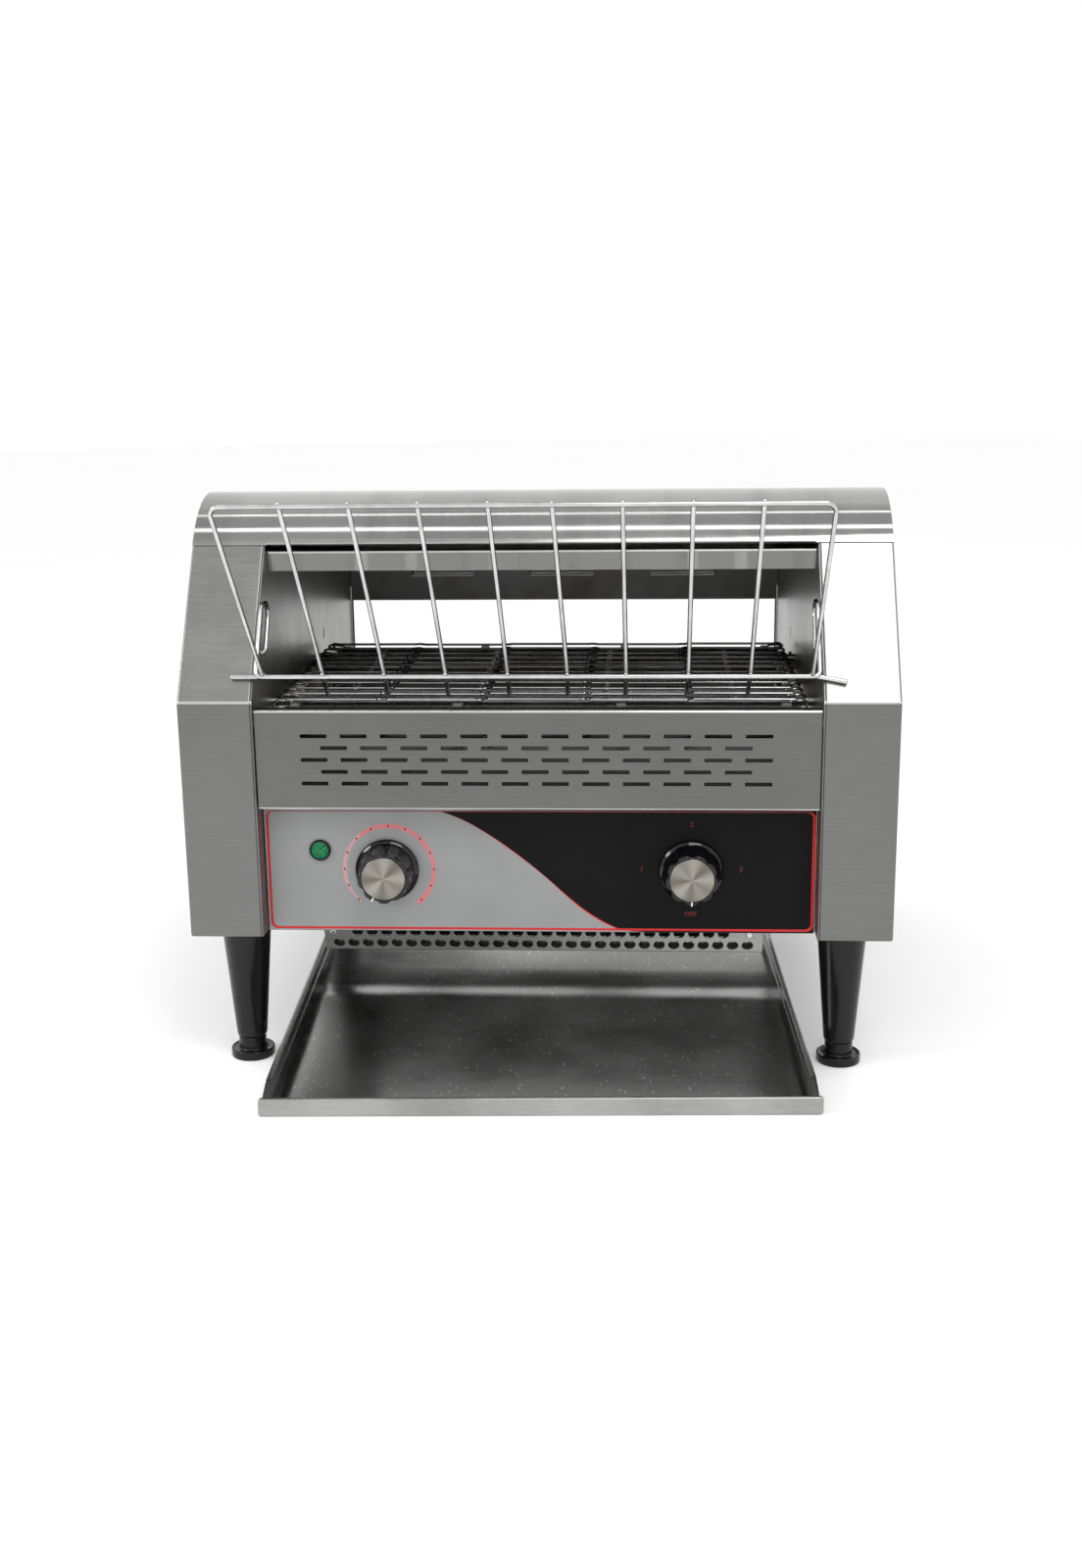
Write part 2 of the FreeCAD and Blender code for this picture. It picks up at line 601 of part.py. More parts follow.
ar = val("axle_rad")
tip = R - sr - 0.5
for name, y, x1 in (("front", bf, 191), ("rear", br, 202)):
    b = new_body(name + "_shaft")
    s = sketch(b, "YZ", -191)
    circle(s, "belt_" + name, "leg_len+belt_z", "axle_rad")
    pad(b, s, 191 + x1)
    settle(b)
    rings = [toothed(x - 3, x + 3, y, bz, tip - 3.2, tip, 14, ar) for x in (-165, -55, 55, 165)]
    drum = rod_x(-172, 172, y, bz, tip - 2.4).cut(rod_x(-173, 173, y, bz, tip - 3.8))
    feature(name + "_belt_wheels", rings[0].multiFuse(rings[1:] + [drum]))
    bush = []
    for sg in (-1, 1):
        lo, hi = sorted((sg * (wx - 1.8), sg * (wx + T + 4)))
        part_ = rod_x(lo, hi, y, bz, val("bush_rad") - 0.0)
        lo2, hi2 = sorted((sg * (wx - 1.8), sg * wx))
        part_ = part_.fuse(rod_x(lo2, hi2, y, bz, val("bush_flange")))
        bush.append(part_.cut(rod_x(lo - 1, hi + 1, y, bz, ar + val("axle_fit"))).removeSplitter())
    feature(name + "_bearings", Part.makeCompound(bush))

# drive inside the right housing: gear motor, two chain wheels and the chain
dx, dt_ = val("drive_x"), val("drive_t")
my, mz = val("motor_y"), B0 + val("motor_z")
feature("drive_sprocket", toothed(dx, dx + dt_, br, bz, 21.0, 24.0, 18, ar))
feature("motor_sprocket", toothed(dx, dx + dt_, my, mz, 9.4, 12.2, 9, 4).removeSplitter())


def band(y0, z0, r0, y1, z1, r1, x0, x1):
    """A belt-shaped prism round two circles of unlike size."""
    d = math.hypot(y1 - y0, z1 - z0)
    base = math.atan2(z1 - z0, y1 - y0)
    off = math.acos((r0 - r1) / d)
    pts = []
    for s_ in (1, -1):
        a = base + s_ * off
        pts.append(((y0 + r0 * math.cos(a), z0 + r0 * math.sin(a)), (y1 + r1 * math.cos(a), z1 + r1 * math.sin(a))))
    (a0, a1), (b0, b1) = pts
    m0 = (y0 - r0 * math.cos(base), z0 - r0 * math.sin(base))
    m1 = (y1 + r1 * math.cos(base), z1 + r1 * math.sin(base))
    w = Part.Wire([
        Part.LineSegment(V(x0, *a0), V(x0, *a1)).toShape(),
        Part.Arc(V(x0, *a1), V(x0, *m1), V(x0, *b1)).toShape(),
        Part.LineSegment(V(x0, *b1), V(x0, *b0)).toShape(),
        Part.Arc(V(x0, *b0), V(x0, *m0), V(x0, *a0)).toShape()])
    return Part.Face(w).extrude(V(x1 - x0, 0, 0))


outer = band(br, bz, 28.4, my, mz, 16.6, dx - 0.5, dx + dt_ + 0.5)
inner = band(br, bz, 24.5, my, mz, 12.7, dx - 1.5, dx + dt_ + 1.5)
feature("drive_chain", outer.cut(inner))

gear = Part.makeBox(21, 52, 62, V(206, my - 26, mz - 16))
gear = gear.fuse(Part.makeCylinder(13, 34, V(213, my - 26, mz + 30), V(0, -1, 0)))
feature("gear_motor", gear.cut(rod_x(205, 224, my, mz, 4.05)).removeSplitter())
feature("motor_shaft", rod_x(dx, 222, my, mz, 4))
plate = Part.makeBox(1.6, 67, 112, V(204.4, my - 25, mz - 30)).cut(rod_x(203, 207, my, mz, 14))
legs_ = [rod_x(wx + T, 204.4, my + a, mz + c, 4) for a, c in ((-19, -24), (36, -24), (36, 76))]
feature("motor_bracket", plate.multiFuse(legs_).removeSplitter())

# ---------------------------------------------------------------- controls
kx, kz = val("knob_x"), B0 + val("knob_z")
py = val("panel_y")
kt = val("label_t")


def knob(side, sgn):
    name = "colour_knob" if sgn < 0 else "selector_knob"
    x = sgn * kx
    front = py - kt - 0.8
    h = val("knob_ht")
    r = val("knob_rad")
    # grip: lobed skirt, tapering a little to the front, with a seat for the cap
    pts = []
    lobes = 18
    for i in range(lobes * 6):
        t = 2 * math.pi * i / (lobes * 6)
        rr = r - 0.9 + 0.9 * math.cos(lobes * t)
        pts.append((rr, t))
    wires = []
    for yy, sc in ((front, 1.0), (front - h, 0.87)):
        poly = [V(x + rr * sc * math.sin(t), yy, kz + rr * sc * math.cos(t)) for rr, t in pts]
        poly.append(poly[0])
        wires.append(Part.makePolygon(poly))
    grip = Part.makeLoft(wires, True, True)
    cr = val("cap_rad")
    seat = Part.makeCylinder(cr + 0.15, 1.012, V(x, front - h - 0.001, kz), V(0, 1, 0))
    bore = Part.makeCylinder(val("shaft_rad"), h - 4, V(x, front + 0.001, kz), V(0, -1, 0))
    feature(name + "_grip", grip.cut(seat).cut(bore))
    cap = Part.makeCylinder(cr, val("cap_t"), V(x, front - h + 1.0, kz), V(0, -1, 0))
    edge = [e for e in cap.Edges if abs(e.CenterOfMass.y - (front - h + 1.0 - val("cap_t"))) < 1e-3 and e.Length > 10]
    cap = cap.makeChamfer(0.35, edge)
    feature(name + "_cap", cap)
    a = math.radians(-152) if sgn < 0 else math.radians(180)
    corners_ = []
    for u, w in ((-0.7, cr + 0.4), (0.7, cr + 0.4), (0.7, cr + 3.4), (-0.7, cr + 3.4), (-0.7, cr + 0.4)):
        corners_.append(V(x + u * math.cos(a) + w * math.sin(a), front - h - 0.5, kz - u * math.sin(a) + w * math.cos(a)))
    mark = Part.Face(Part.makePolygon(corners_)).extrude(V(0, 0.49, 0))
    feature(name + "_pointer", mark)
    shaft = Part.makeCylinder(val("shaft_rad"), 24 + h - 4.4, V(x, front - h + 4.4, kz), V(0, 1, 0))
    feature(name + "_shaft", shaft)


knob("left", -1)
knob("right", 1)
yb = py + T
pot = Part.makeCylinder(15, 16, V(-kx, yb + 2, kz), V(0, 1, 0)).fuse(Part.makeCylinder(4.6, 2.4, V(-kx, yb, kz), V(0, 1, 0)))
pot = pot.cut(Part.makeCylinder(3.06, 30, V(-kx, yb - 2, kz), V(0, 1, 0)))
feature("speed_control", pot.removeSplitter())
sw = Part.makeBox(44, 38, 44, V(kx - 22, yb + 2, kz - 22)).fuse(Part.makeCylinder(4.6, 2.4, V(kx, yb, kz), V(0, 1, 0)))
sw = sw.cut(Part.makeCylinder(3.06, 30, V(kx, yb - 2, kz), V(0, 1, 0)))
feature("selector_switch", sw.removeSplitter())

lx, lz, lr = -val("lamp_x"), B0 + val("lamp_z"), val("lamp_rad")
ring = Part.makeCylinder(lr + 0.9, 2.2, V(lx, py - kt, lz), V(0, -1, 0)).fuse(Part.makeCylinder(lr - 0.8, 14, V(lx, py - kt, lz), V(0, 1, 0)))
ring = ring.cut(Part.makeCylinder(lr - 1.6, 30, V(lx, py - 10, lz), V(0, 1, 0)))
feature("lamp_bezel", ring.removeSplitter())
lens = Part.makeCylinder(lr - 1.75, 12, V(lx, py + 8, lz), V(0, -1, 0))
front_edge = [e for e in lens.Edges if abs(e.CenterOfMass.y - (py - 4)) < 1e-3 and e.Length > 5]
feature("lamp_lens", lens.makeFillet(1.2, front_edge))

feature("terminal_block", Part.makeBox(60, 18, 22, V(20, 61, B0 + 30)))
feature("terminal_bracket", Part.makeBox(70, 22, 1.2, V(15, 59, B0 + 28.8)).fuse(Part.makeBox(70, 1.2, 68.0, V(15, 81, B0 + 28.8))).fuse(Part.makeBox(70, 14, 1.2, V(15, 81, B0 + 96.6))).removeSplitter())

gy = val("rear_y") + T
gland = Part.makeCylinder(8.0, 14, V(150, gy - 8, B0 + 34), V(0, 1, 0)).fuse(Part.makeCylinder(11, 4.2, V(150, gy, B0 + 34), V(0, 1, 0)))
gland = gland.cut(Part.makeCylinder(3.8, 40, V(150, gy - 20, B0 + 34), V(0, 1, 0)))
feature("cable_gland", gland.removeSplitter())

# ---------------------------------------------------------------- legs and feet
corners = {"front_left": (-1, "leg_y"), "front_right": (1, "leg_y"), "rear_left": (-1, "leg_y_rear"), "rear_right": (1, "leg_y_rear")}
lt, lb, le = val("leg_top"), val("leg_bot"), val("leg_end")
for cname, (sg, yname) in corners.items():
    b = new_body("leg_" + cname)
    s = sketch(b, "XZ", 0)
    sr_ = val("stud_rad") + 0.08
    chain(s, loop([(sr_, le), (lb - 0.8, le), (lb, le + 0.8), (lt - 0.9, B0 - 9), (lt, B0 - 8), (lt, B0), (4, B0), (4, B0 - 22), (sr_, B0 - 27)]))
    revolve(b, s)
    settle(b, ("leg_x" if sg > 0 else "-leg_x"), yname, 0)
    b = new_body("foot_" + cname)
    s = sketch(b, "XZ", 0)
    fr, fh, nr, st = val("foot_rad"), val("foot_ht"), val("neck_rad"), val("stud_top")
    chain(s, loop([(0, 0), (fr - 0.8, 0), (fr, 0.8), (fr, fh - 0.9), (fr - 0.9, fh), (nr + 0.8, fh), (nr, fh + 0.8), (nr, le - 0.3), (val("stud_rad"), le - 0.3), (val("stud_rad"), st), (0, st)]))
    revolve(b, s)
    settle(b, ("leg_x" if sg > 0 else "-leg_x"), yname, 0)

# bolts that hold the legs, inside the housings
bolts = []
for sg in (-1, 1):
    for yname in ("leg_y", "leg_y_rear"):
        x, y = sg * val("leg_x"), val(yname)
        shank = Part.makeCylinder(4, 24, V(x, y, B0 - 20), V(0, 0, 1))
        head = Part.makeCylinder(6.5, 5, V(x, y, B0 + T), V(0, 0, 1))
        bolts.append(shank.fuse(head).removeSplitter())
feature("leg_bolts", Part.makeCompound(bolts))

# ---------------------------------------------------------------- toast tray, loose on the table between the feet
b = new_body("toast_tray")
s = sketch(b, "XY", 0)
rect(s, "-tray_half", "tray_front-tray_pivot", "tray_half", "tray_rear-tray_pivot")
pad(b, s, "tray_t")
ty0, ty1 = val("tray_front") - val("tray_pivot"), val("tray_rear") - val("tray_pivot")
tt, ts = val("tray_t"), val("tray_side")
for sg in (1, -1):
    s = sketch(b, "YZ", "tray_half-tray_t" if sg > 0 else "-tray_half")
    chain(s, loop([(ty0 + 0.6, 0), (ty0 + 0.6, 9), (ty0 + 7, 12.5), (ty0 + 24, ts), (ty1, ts), (ty1, 0)]))
    pad(b, s, "tray_t")
    s = sketch(b, "YZ", "tray_half-3.4" if sg > 0 else "-tray_half")
    chain(s, loop([(ty0 + 24, ts - 2.2), (ty0 + 24, ts), (ty1, ts), (ty1, ts - 2.2)]))
    pad(b, s, 3.4)
s = sketch(b, "XY", 0)
rect(s, "-tray_lip_half", "tray_front-tray_pivot", "tray_lip_half", "tray_front-tray_pivot+tray_t")
pad(b, s, "tray_lip")
s = sketch(b, "XY", "tray_lip-1.4")
rect(s, "-tray_lip_half", "tray_front-tray_pivot", "tray_lip_half", "tray_front-tray_pivot+3")
pad(b, s, 1.4)
settle(b, -0.8, "tray_pivot", 0, FreeCAD.Rotation(V(0, 0, 1), val("tray_yaw")))

# ---------------------------------------------------------------- feed rack of bent wire
wr, rr_ = val("wire"), val("rod")


def tube(points, r, bend=0.0):
    """Round wire along straight runs, each inner corner turned on a tangent arc."""
    pts = [V(*p) for p in points]
    edges, start = [], pts[0]
    for i in range(1, len(pts) - 1):
        a, c, d = pts[i - 1], pts[i], pts[i + 1]
        u, w = (a - c).normalize(), (d - c).normalize()
        half = u.getAngle(w) / 2
        rad = bend
        t = rad / math.tan(half)
        p, q = c + u * t, c + w * t
        bis = (u + w).normalize()
        mid = c + bis * (rad / math.sin(half) - rad)
        if (p - start).Length > 1e-6:
            edges.append(Part.LineSegment(start, p).toShape())
        edges.append(Part.Arc(p, mid, q).toShape())
        start = q
    edges.append(Part.LineSegment(start, pts[-1]).toShape())
    path = Part.Wire(edges)
    d0 = (edges[0].Curve.Direction)
    prof = Part.Wire([Part.Circle(pts[0], d0, r).toShape()])
    solid = path.makePipeShell([prof], True, True)
    return solid


# rest place of the rack: the straight cross rod lies on the slanted faces of both housings
rod_c = (7.95, B0 + 176.9)
bar = (5.0, B0 + 177.6)
top = (-62.2, B0 + 294.1)
hook = (38.5, B0 + 187.6)
left_top, right_top, half_bot = -191.3, 183.2, 178.0
hx = wx - 2.6
lean = V(0, top[0] - bar[0], top[1] - bar[1]).normalize()
square = V(0, -lean.z, lean.y) * -1
lift = 2 * wr + 0.02
rack = []
# cross rod, its right end bent a little down the slanted face
rack.append(tube([(-199, rod_c[0], rod_c[1]), (182, rod_c[0], rod_c[1]), (199.4, rod_c[0] - 2.1, rod_c[1] - 3.0)], rr_, 12.0))
# frame wire: up the left side, across the top, down the right side, ending just above the hairpins
rack.append(tube([(-half_bot, bar[0] + lean.y * 1.56, bar[1] + lean.z * 1.56), (left_top, top[0], top[1]), (right_top, top[0], top[1]), (half_bot, bar[0] + lean.y * 1.56, bar[1] + lean.z * 1.56)], wr, 6.5))
# lower bar with its ends turned up into hairpins whose tips enter the inner walls
rack.append(rod_x(-150, 150, bar[0], bar[1], wr))
for sg in (-1, 1):
    rack.append(tube([(sg * 150, bar[0], bar[1]), (sg * hx, bar[0], bar[1]), (sg * hx, 31.5, B0 + 220.0),
                      (sg * hx, 58.5, B0 + 220.0), (sg * hx, hook[0], hook[1]), (sg * (wx + T + 3), hook[0], hook[1])], wr, 2.4))
feature("feed_rack", Part.makeCompound(rack))
# the eight lengthwise wires lie behind the bars, on the side that the bread leans on
wires_ = []
for i in range(8):
    xt, xb = (-149.4, -107.3, -65.4, -23.3, 15.0, 57.1, 99.0, 140.9)[i], (-139.0, -98.7, -58.6, -18.1, 20.6, 58.6, 98.7, 138.6)[i]
    tip_ = V(xt, top[0], top[1]) + lean * 0.8 + square * lift
    foot_ = V(xb, bar[0], bar[1]) + square * lift
    over_ = foot_ + lean * 1.7
    wires_.append(tube([tuple(tip_), tuple(over_), (xb - 0.15, 11.5, B0 + 179.3), (xb - 0.3, 15.6, B0 + 172.7), (xb - 0.5, 27, B0 + 161.6)], wr, 4.0))
feature("rack_wires", Part.makeCompound(wires_))

# ---------------------------------------------------------------- fasteners
screws = []


def screw(p, d, r=3.2, hgt=1.8):
    d = V(*d)
    c = Part.makeCylinder(r, hgt, V(*p), d)
    e = [x for x in c.Edges if (x.CenterOfMass - (V(*p) + d * hgt)).Length < 1e-3 and x.Length > 8]
    screws.append(c.makeFillet(0.9, e))


for x in (143.3, -146.0):
    screw((x, val("belly_y") + 3.6, B0 - 11.2), (0, -st_, -ct), 2.6, 1.4)
for sg in (-1, 1):
    for y, z in ((24, B0 + 18), (24, B0 + 140), (398, B0 + 18), (398, B0 + 200)):
        screw((sg * W2, y, z), (sg, 0, 0))
    for z in (12, 95, 200):
        screw((sg * 176, val("rear_y") + T, B0 + z), (0, 1, 0), 3.0, 1.6)
feature("cover_screws", Part.makeCompound(screws))

# ---------------------------------------------------------------- check and write
doc.recompute()
bad = []
for o in doc.Objects:
    if "Invalid" in o.State or "Error" in o.State:
        bad.append("%s %s" % (o.Name, o.State))
for o in NODES:
    if o.Shape.isNull() or not o.Shape.isValid():
        bad.append("%s has no valid shape" % o.Label)
    if not o.Shape.Solids:
        bad.append("%s has no solid" % o.Label)
if bad:
    raise RuntimeError("; ".join(bad))
os.makedirs("parts", exist_ok=True)
lo, hi = [1e9] * 3, [-1e9] * 3
for o in NODES:
    o.Shape.exportStep("parts/%s.step" % o.Label)
    bb = o.Shape.BoundBox
    for i, (a, c) in enumerate(((bb.XMin, bb.XMax), (bb.YMin, bb.YMax), (bb.ZMin, bb.ZMax))):
        lo[i], hi[i] = min(lo[i], a), max(hi[i], c)
    print("%-24s solids %3d volume %10.1f box %s" % (o.Label, len(o.Shape.Solids), o.Shape.Volume, [round(t, 1) for t in (bb.XMin, bb.YMin, bb.ZMin, bb.XMax, bb.YMax, bb.ZMax)]))
print("nodes", len(NODES), "box", [round(t, 2) for t in lo], [round(t, 2) for t in hi], "middle y", round((lo[1] + hi[1]) / 2, 3))
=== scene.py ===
import bpy
import bmesh
import json
import math
import random
from mathutils import Vector, Matrix
from mathutils.geometry import delaunay_2d_cdt

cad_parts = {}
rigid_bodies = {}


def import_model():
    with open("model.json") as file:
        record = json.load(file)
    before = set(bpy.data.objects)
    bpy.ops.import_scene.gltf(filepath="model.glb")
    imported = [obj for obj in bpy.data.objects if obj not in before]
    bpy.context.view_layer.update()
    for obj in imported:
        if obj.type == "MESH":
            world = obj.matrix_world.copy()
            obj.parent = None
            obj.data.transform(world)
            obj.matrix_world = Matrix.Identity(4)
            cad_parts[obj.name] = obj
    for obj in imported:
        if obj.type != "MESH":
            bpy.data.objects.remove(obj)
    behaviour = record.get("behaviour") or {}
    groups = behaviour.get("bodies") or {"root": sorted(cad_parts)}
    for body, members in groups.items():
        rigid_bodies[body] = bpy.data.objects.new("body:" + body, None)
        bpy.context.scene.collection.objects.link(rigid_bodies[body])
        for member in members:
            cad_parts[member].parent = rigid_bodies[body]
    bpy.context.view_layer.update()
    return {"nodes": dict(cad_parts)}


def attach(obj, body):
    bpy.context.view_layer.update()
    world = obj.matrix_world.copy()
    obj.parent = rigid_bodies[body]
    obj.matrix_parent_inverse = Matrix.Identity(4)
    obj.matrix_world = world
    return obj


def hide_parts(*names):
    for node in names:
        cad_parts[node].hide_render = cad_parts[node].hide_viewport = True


for o in list(bpy.data.objects):
    bpy.data.objects.remove(o)
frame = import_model()
NODE = frame["nodes"]
rnd = random.Random(7)

# Lengths below are in millimetres: X to the right, Y from the front of the side housings
# towards the rear, Z up from the underside of the housings. P() takes them to the frame.


def P(x, y, z):
    return (x / 1000.0, (y - 176.6) / 1000.0, (z + 101.0) / 1000.0)


# ================================================================ mesh code
class Geo:
    def __init__(self):
        self.v, self.f, self.m = [], [], []

    def add(self, verts, faces, mi=0):
        o = len(self.v)
        self.v += [tuple(p) for p in verts]
        self.f += [tuple(i + o for i in f) for f in faces]
        self.m += [mi] * len(faces)
        return o


def make(name, geo, mats, body="machine", rep=(), bevel=0.0, seg=2, limit=32, sharp=38, merge=0.004, weighted=True, fix=True):
    me = bpy.data.meshes.new(name)
    me.from_pydata([P(*p) for p in geo.v], [], geo.f)
    if not isinstance(mats, (list, tuple)):
        mats = [mats]
    for m in mats:
        me.materials.append(m)
    me.polygons.foreach_set("material_index", geo.m)
    bm = bmesh.new()
    bm.from_mesh(me)
    if merge:
        bmesh.ops.remove_doubles(bm, verts=bm.verts, dist=merge / 1000.0)
    if fix:
        bmesh.ops.recalc_face_normals(bm, faces=bm.faces)
    bm.to_mesh(me)
    bm.free()
    for p in me.polygons:
        p.use_smooth = True
    if not bevel:
        me.set_sharp_from_angle(angle=math.radians(sharp))
    ob = bpy.data.objects.new(name, me)
    bpy.context.scene.collection.objects.link(ob)
    if bevel:
        b = ob.modifiers.new("edge", "BEVEL")
        b.width = bevel / 1000.0
        b.segments = seg
        b.limit_method = "ANGLE"
        b.angle_limit = math.radians(limit)
        b.use_clamp_overlap = False
        b.harden_normals = False
    if weighted:
        w = ob.modifiers.new("normals", "WEIGHTED_NORMAL")
        w.keep_sharp = True
        w.weight = 60
    if rep:
        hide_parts(*rep)
    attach(ob, body)
    return ob


def round2(pts, radii, step=11.0):
    """Open path with its inner corners rounded. Gives the points and, for each straight run, its first and last point's place in the list."""
    out, runs = [tuple(pts[0])], []
    last = 0
    for i in range(1, len(pts) - 1):
        a, c, d = Vector(pts[i - 1]), Vector(pts[i]), Vector(pts[i + 1])
        r = radii[i - 1] if isinstance(radii, (list, tuple)) else radii
        u, w = (a - c).normalized(), (d - c).normalized()
        full = u.angle(w)
        if r < 1e-6 or math.pi - full < 1e-4:
            out.append(tuple(c))
            runs.append((last, len(out) - 1))
            last = len(out) - 1
            continue
        t = r / math.tan(full / 2)
        p, q = c + u * t, c + w * t
        bis = (u + w).normalized()
        cen = c + bis * (r / math.sin(full / 2))
        n = max(2, int(math.ceil(math.degrees(math.pi - full) / step)))
        out.append(tuple(p))
        runs.append((last, len(out) - 1))
        s0, s1 = p - cen, q - cen
        for k in range(1, n):
            f = k / n
            ang_ = math.pi - full
            v = (s0 * math.sin((1 - f) * ang_) + s1 * math.sin(f * ang_)) / math.sin(ang_)
            out.append(tuple(cen + v))
        out.append(tuple(q))
        last = len(out) - 1
    out.append(tuple(pts[-1]))
    runs.append((last, len(out) - 1))
    return out, runs


def offset2(path, t, closed=False):
    """Path moved t to its left."""
    n = len(path)
    out = []
    for i in range(n):
        p = Vector(path[i])
        if closed:
            a, b = Vector(path[i - 1]), Vector(path[(i + 1) % n])
        else:
            a = Vector(path[i - 1]) if i else None
            b = Vector(path[i + 1]) if i < n - 1 else None
        u = (p - a).normalized() if a is not None else None
        w = (b - p).normalized() if b is not None else None
        if u is None:
            u = w
        if w is None:
            w = u
        nu, nw = Vector((-u.y, u.x)), Vector((-w.y, w.x))
        m = (nu + nw)
        if m.length < 1e-6:
            m = nu
        m.normalize()
        out.append(tuple(p + m * (t / max(0.2, m.dot(nu)))))
    return out


def inside(poly, x, y):
    c = False
    j = len(poly) - 1
    for i in range(len(poly)):
        xi, yi = poly[i]
        xj, yj = poly[j]
        if (yi > y) != (yj > y) and x < (xj - xi) * (y - yi) / (yj - yi) + xi:
            c = not c
        j = i
    return c


def flat_with_holes(outer, holes, extra=()):
    """Triangles of a flat region with holes; extra open paths are kept as edges too."""
    vs, es = [], []
    for loop in [outer] + list(holes):
        o = len(vs)
        vs += [Vector(p) for p in loop]
        es += [(o + i, o + (i + 1) % len(loop)) for i in range(len(loop))]
    for path in extra:
        o = len(vs)
        vs += [Vector(p) for p in path]
        es += [(o + i, o + i + 1) for i in range(len(path) - 1)]
    rv, re, rf, _a, _b, _c = delaunay_2d_cdt(vs, es, [], 0, 1e-5)
    boxes = [(min(p[0] for p in h), max(p[0] for p in h), min(p[1] for p in h), max(p[1] for p in h)) for h in holes]
    keep = []
    for f in rf:
        cx = sum(rv[i].x for i in f) / len(f)
        cy = sum(rv[i].y for i in f) / len(f)
        if not inside(outer, cx, cy):
            continue
        hit = False
        for h, b in zip(holes, boxes):
            if b[0] < cx < b[1] and b[2] < cy < b[3] and inside(h, cx, cy):
                hit = True
                break
        if not hit:
            keep.append(tuple(f))
    return [(v.x, v.y) for v in rv], keep


def ribbon(g, path, t, x0, x1, holes=None, runs=None, mi=0, inner=None, fold=None):
    """Folded sheet along X: path is its outer face in (y, z), the other face lies t to its left. holes: {run: [loops of (x, s)]}."""
    holes = holes or {}
    inn = inner or offset2(path, t)
    n = len(path)
    vs = []
    for p in path:
        vs += [(x0, p[0], p[1]), (x1, p[0], p[1])]
    for p in inn:
        vs += [(x0, p[0], p[1]), (x1, p[0], p[1])]
    fs, bright = [], []
    done = set()
    for r in holes:
        a, b = runs[r]
        done.add(a)
    for i in range(n - 1):
        j = 2 * n + 2 * i
        fs.append((2 * i, 2 * i + 2, j + 2, j))
        fs.append((2 * i + 1, 2 * i + 3, j + 3, j + 1))
        if i in done:
            continue
        # fold arcs between the straight runs take the fold material, a painted highlight
        if fold is not None and runs is not None and not any(a <= i < b for a, b in runs):
            bright.append((2 * i, 2 * i + 1, 2 * i + 3, 2 * i + 2))
        else:
            fs.append((2 * i, 2 * i + 1, 2 * i + 3, 2 * i + 2))
        fs.append((j, j + 1, j + 3, j + 2))
    fs.append((0, 1, 2 * n + 1, 2 * n))
    e = 2 * (n - 1)
    fs.append((e, e + 1, 2 * n + e + 1, 2 * n + e))
    g.add(vs, fs, mi)
    if bright:
        g.add(vs, bright, fold)
    for r, loops in holes.items():
        a, b = runs[r]
        o = Vector(path[a])
        d = (Vector(path[b]) - o)
        L = d.length
        d.normalize()
        nrm = Vector((-d.y, d.x)) * t
        i0 = (Vector(inn[a]) - o).dot(d)
        i1 = (Vector(inn[b]) - o).dot(d)
        for s0, s1, sh in ((0.0, L, Vector((0, 0))), (i0, i1, nrm)):
            rv, rf = flat_with_holes([(x0, s0), (x1, s0), (x1, s1), (x0, s1)], loops)
            g.add([(x, o.x + d.x * s + sh.x, o.y + d.y * s + sh.y) for x, s in rv], rf, mi)
        for loop in loops:
            m = len(loop)
            w = []
            for x, s in loop:
                w.append((x, o.x + d.x * s, o.y + d.y * s))
            for x, s in loop:
                w.append((x, o.x + d.x * s + nrm.x, o.y + d.y * s + nrm.y))
            g.add(w, [(k, (k + 1) % m, m + (k + 1) % m, m + k) for k in range(m)], mi)


def circle2(cx, cy, r, n=20, a0=0.0):
    return [(cx + r * math.cos(a0 + 2 * math.pi * k / n), cy + r * math.sin(a0 + 2 * math.pi * k / n)) for k in range(n)]


def slot2(cx, cy, length, height, n=6):
    """Slot with round ends along the first axis."""
    r = height / 2.0
    h = length / 2.0 - r
    out = []
    for k in range(n + 1):
        a = -math.pi / 2 + math.pi * k / n
        out.append((cx + h + r * math.cos(a), cy + r * math.sin(a)))
    for k in range(n + 1):
        a = math.pi / 2 + math.pi * k / n
        out.append((cx - h + r * math.cos(a), cy + r * math.sin(a)))
    return out


def round_rect(x0, y0, x1, y1, r, n=6):
    out = []
    for cx, cy, a0 in ((x1 - r, y0 + r, -90), (x1 - r, y1 - r, 0), (x0 + r, y1 - r, 90), (x0 + r, y0 + r, 180)):
        for k in range(n + 1):
            a = math.radians(a0 + 90.0 * k / n)
            out.append((cx + r * math.cos(a), cy + r * math.sin(a)))
    return out


def revolve(g, prof, cen, axis="z", n=64, mi=0, shape=None):
    """Turned form: prof is a list of (radius, height along the axis); shape(k, angle, r, h) may change it."""
    rings = []
    vs, fs = [], []
    for k, (r, h) in enumerate(prof):
        ring = []
        cnt = 1 if r < 1e-6 else n
        for i in range(cnt):
            t = 2 * math.pi * i / n
            rr, hh = (r, h) if shape is None else shape(k, t, r, h)
            a, b = rr * math.sin(t), rr * math.cos(t)
            if axis == "z":
                p = (cen[0] + a, cen[1] + b, hh)
            elif axis == "y":
                p = (cen[0] + a, hh, cen[1] + b)
            else:
                p = (hh, cen[0] + a, cen[1] + b)
            ring.append(len(vs))
            vs.append(p)
        rings.append(ring)
    for a, b in zip(rings, rings[1:]):
        if len(a) == 1 and len(b) == 1:
            continue
        for i in range(n):
            j = (i + 1) % n
            if len(a) == 1:
                fs.append((a[0], b[i], b[j]))
            elif len(b) == 1:
                fs.append((a[i], a[j], b[0]))
            else:
                fs.append((a[i], a[j], b[j], b[i]))
    g.add(vs, fs, mi)


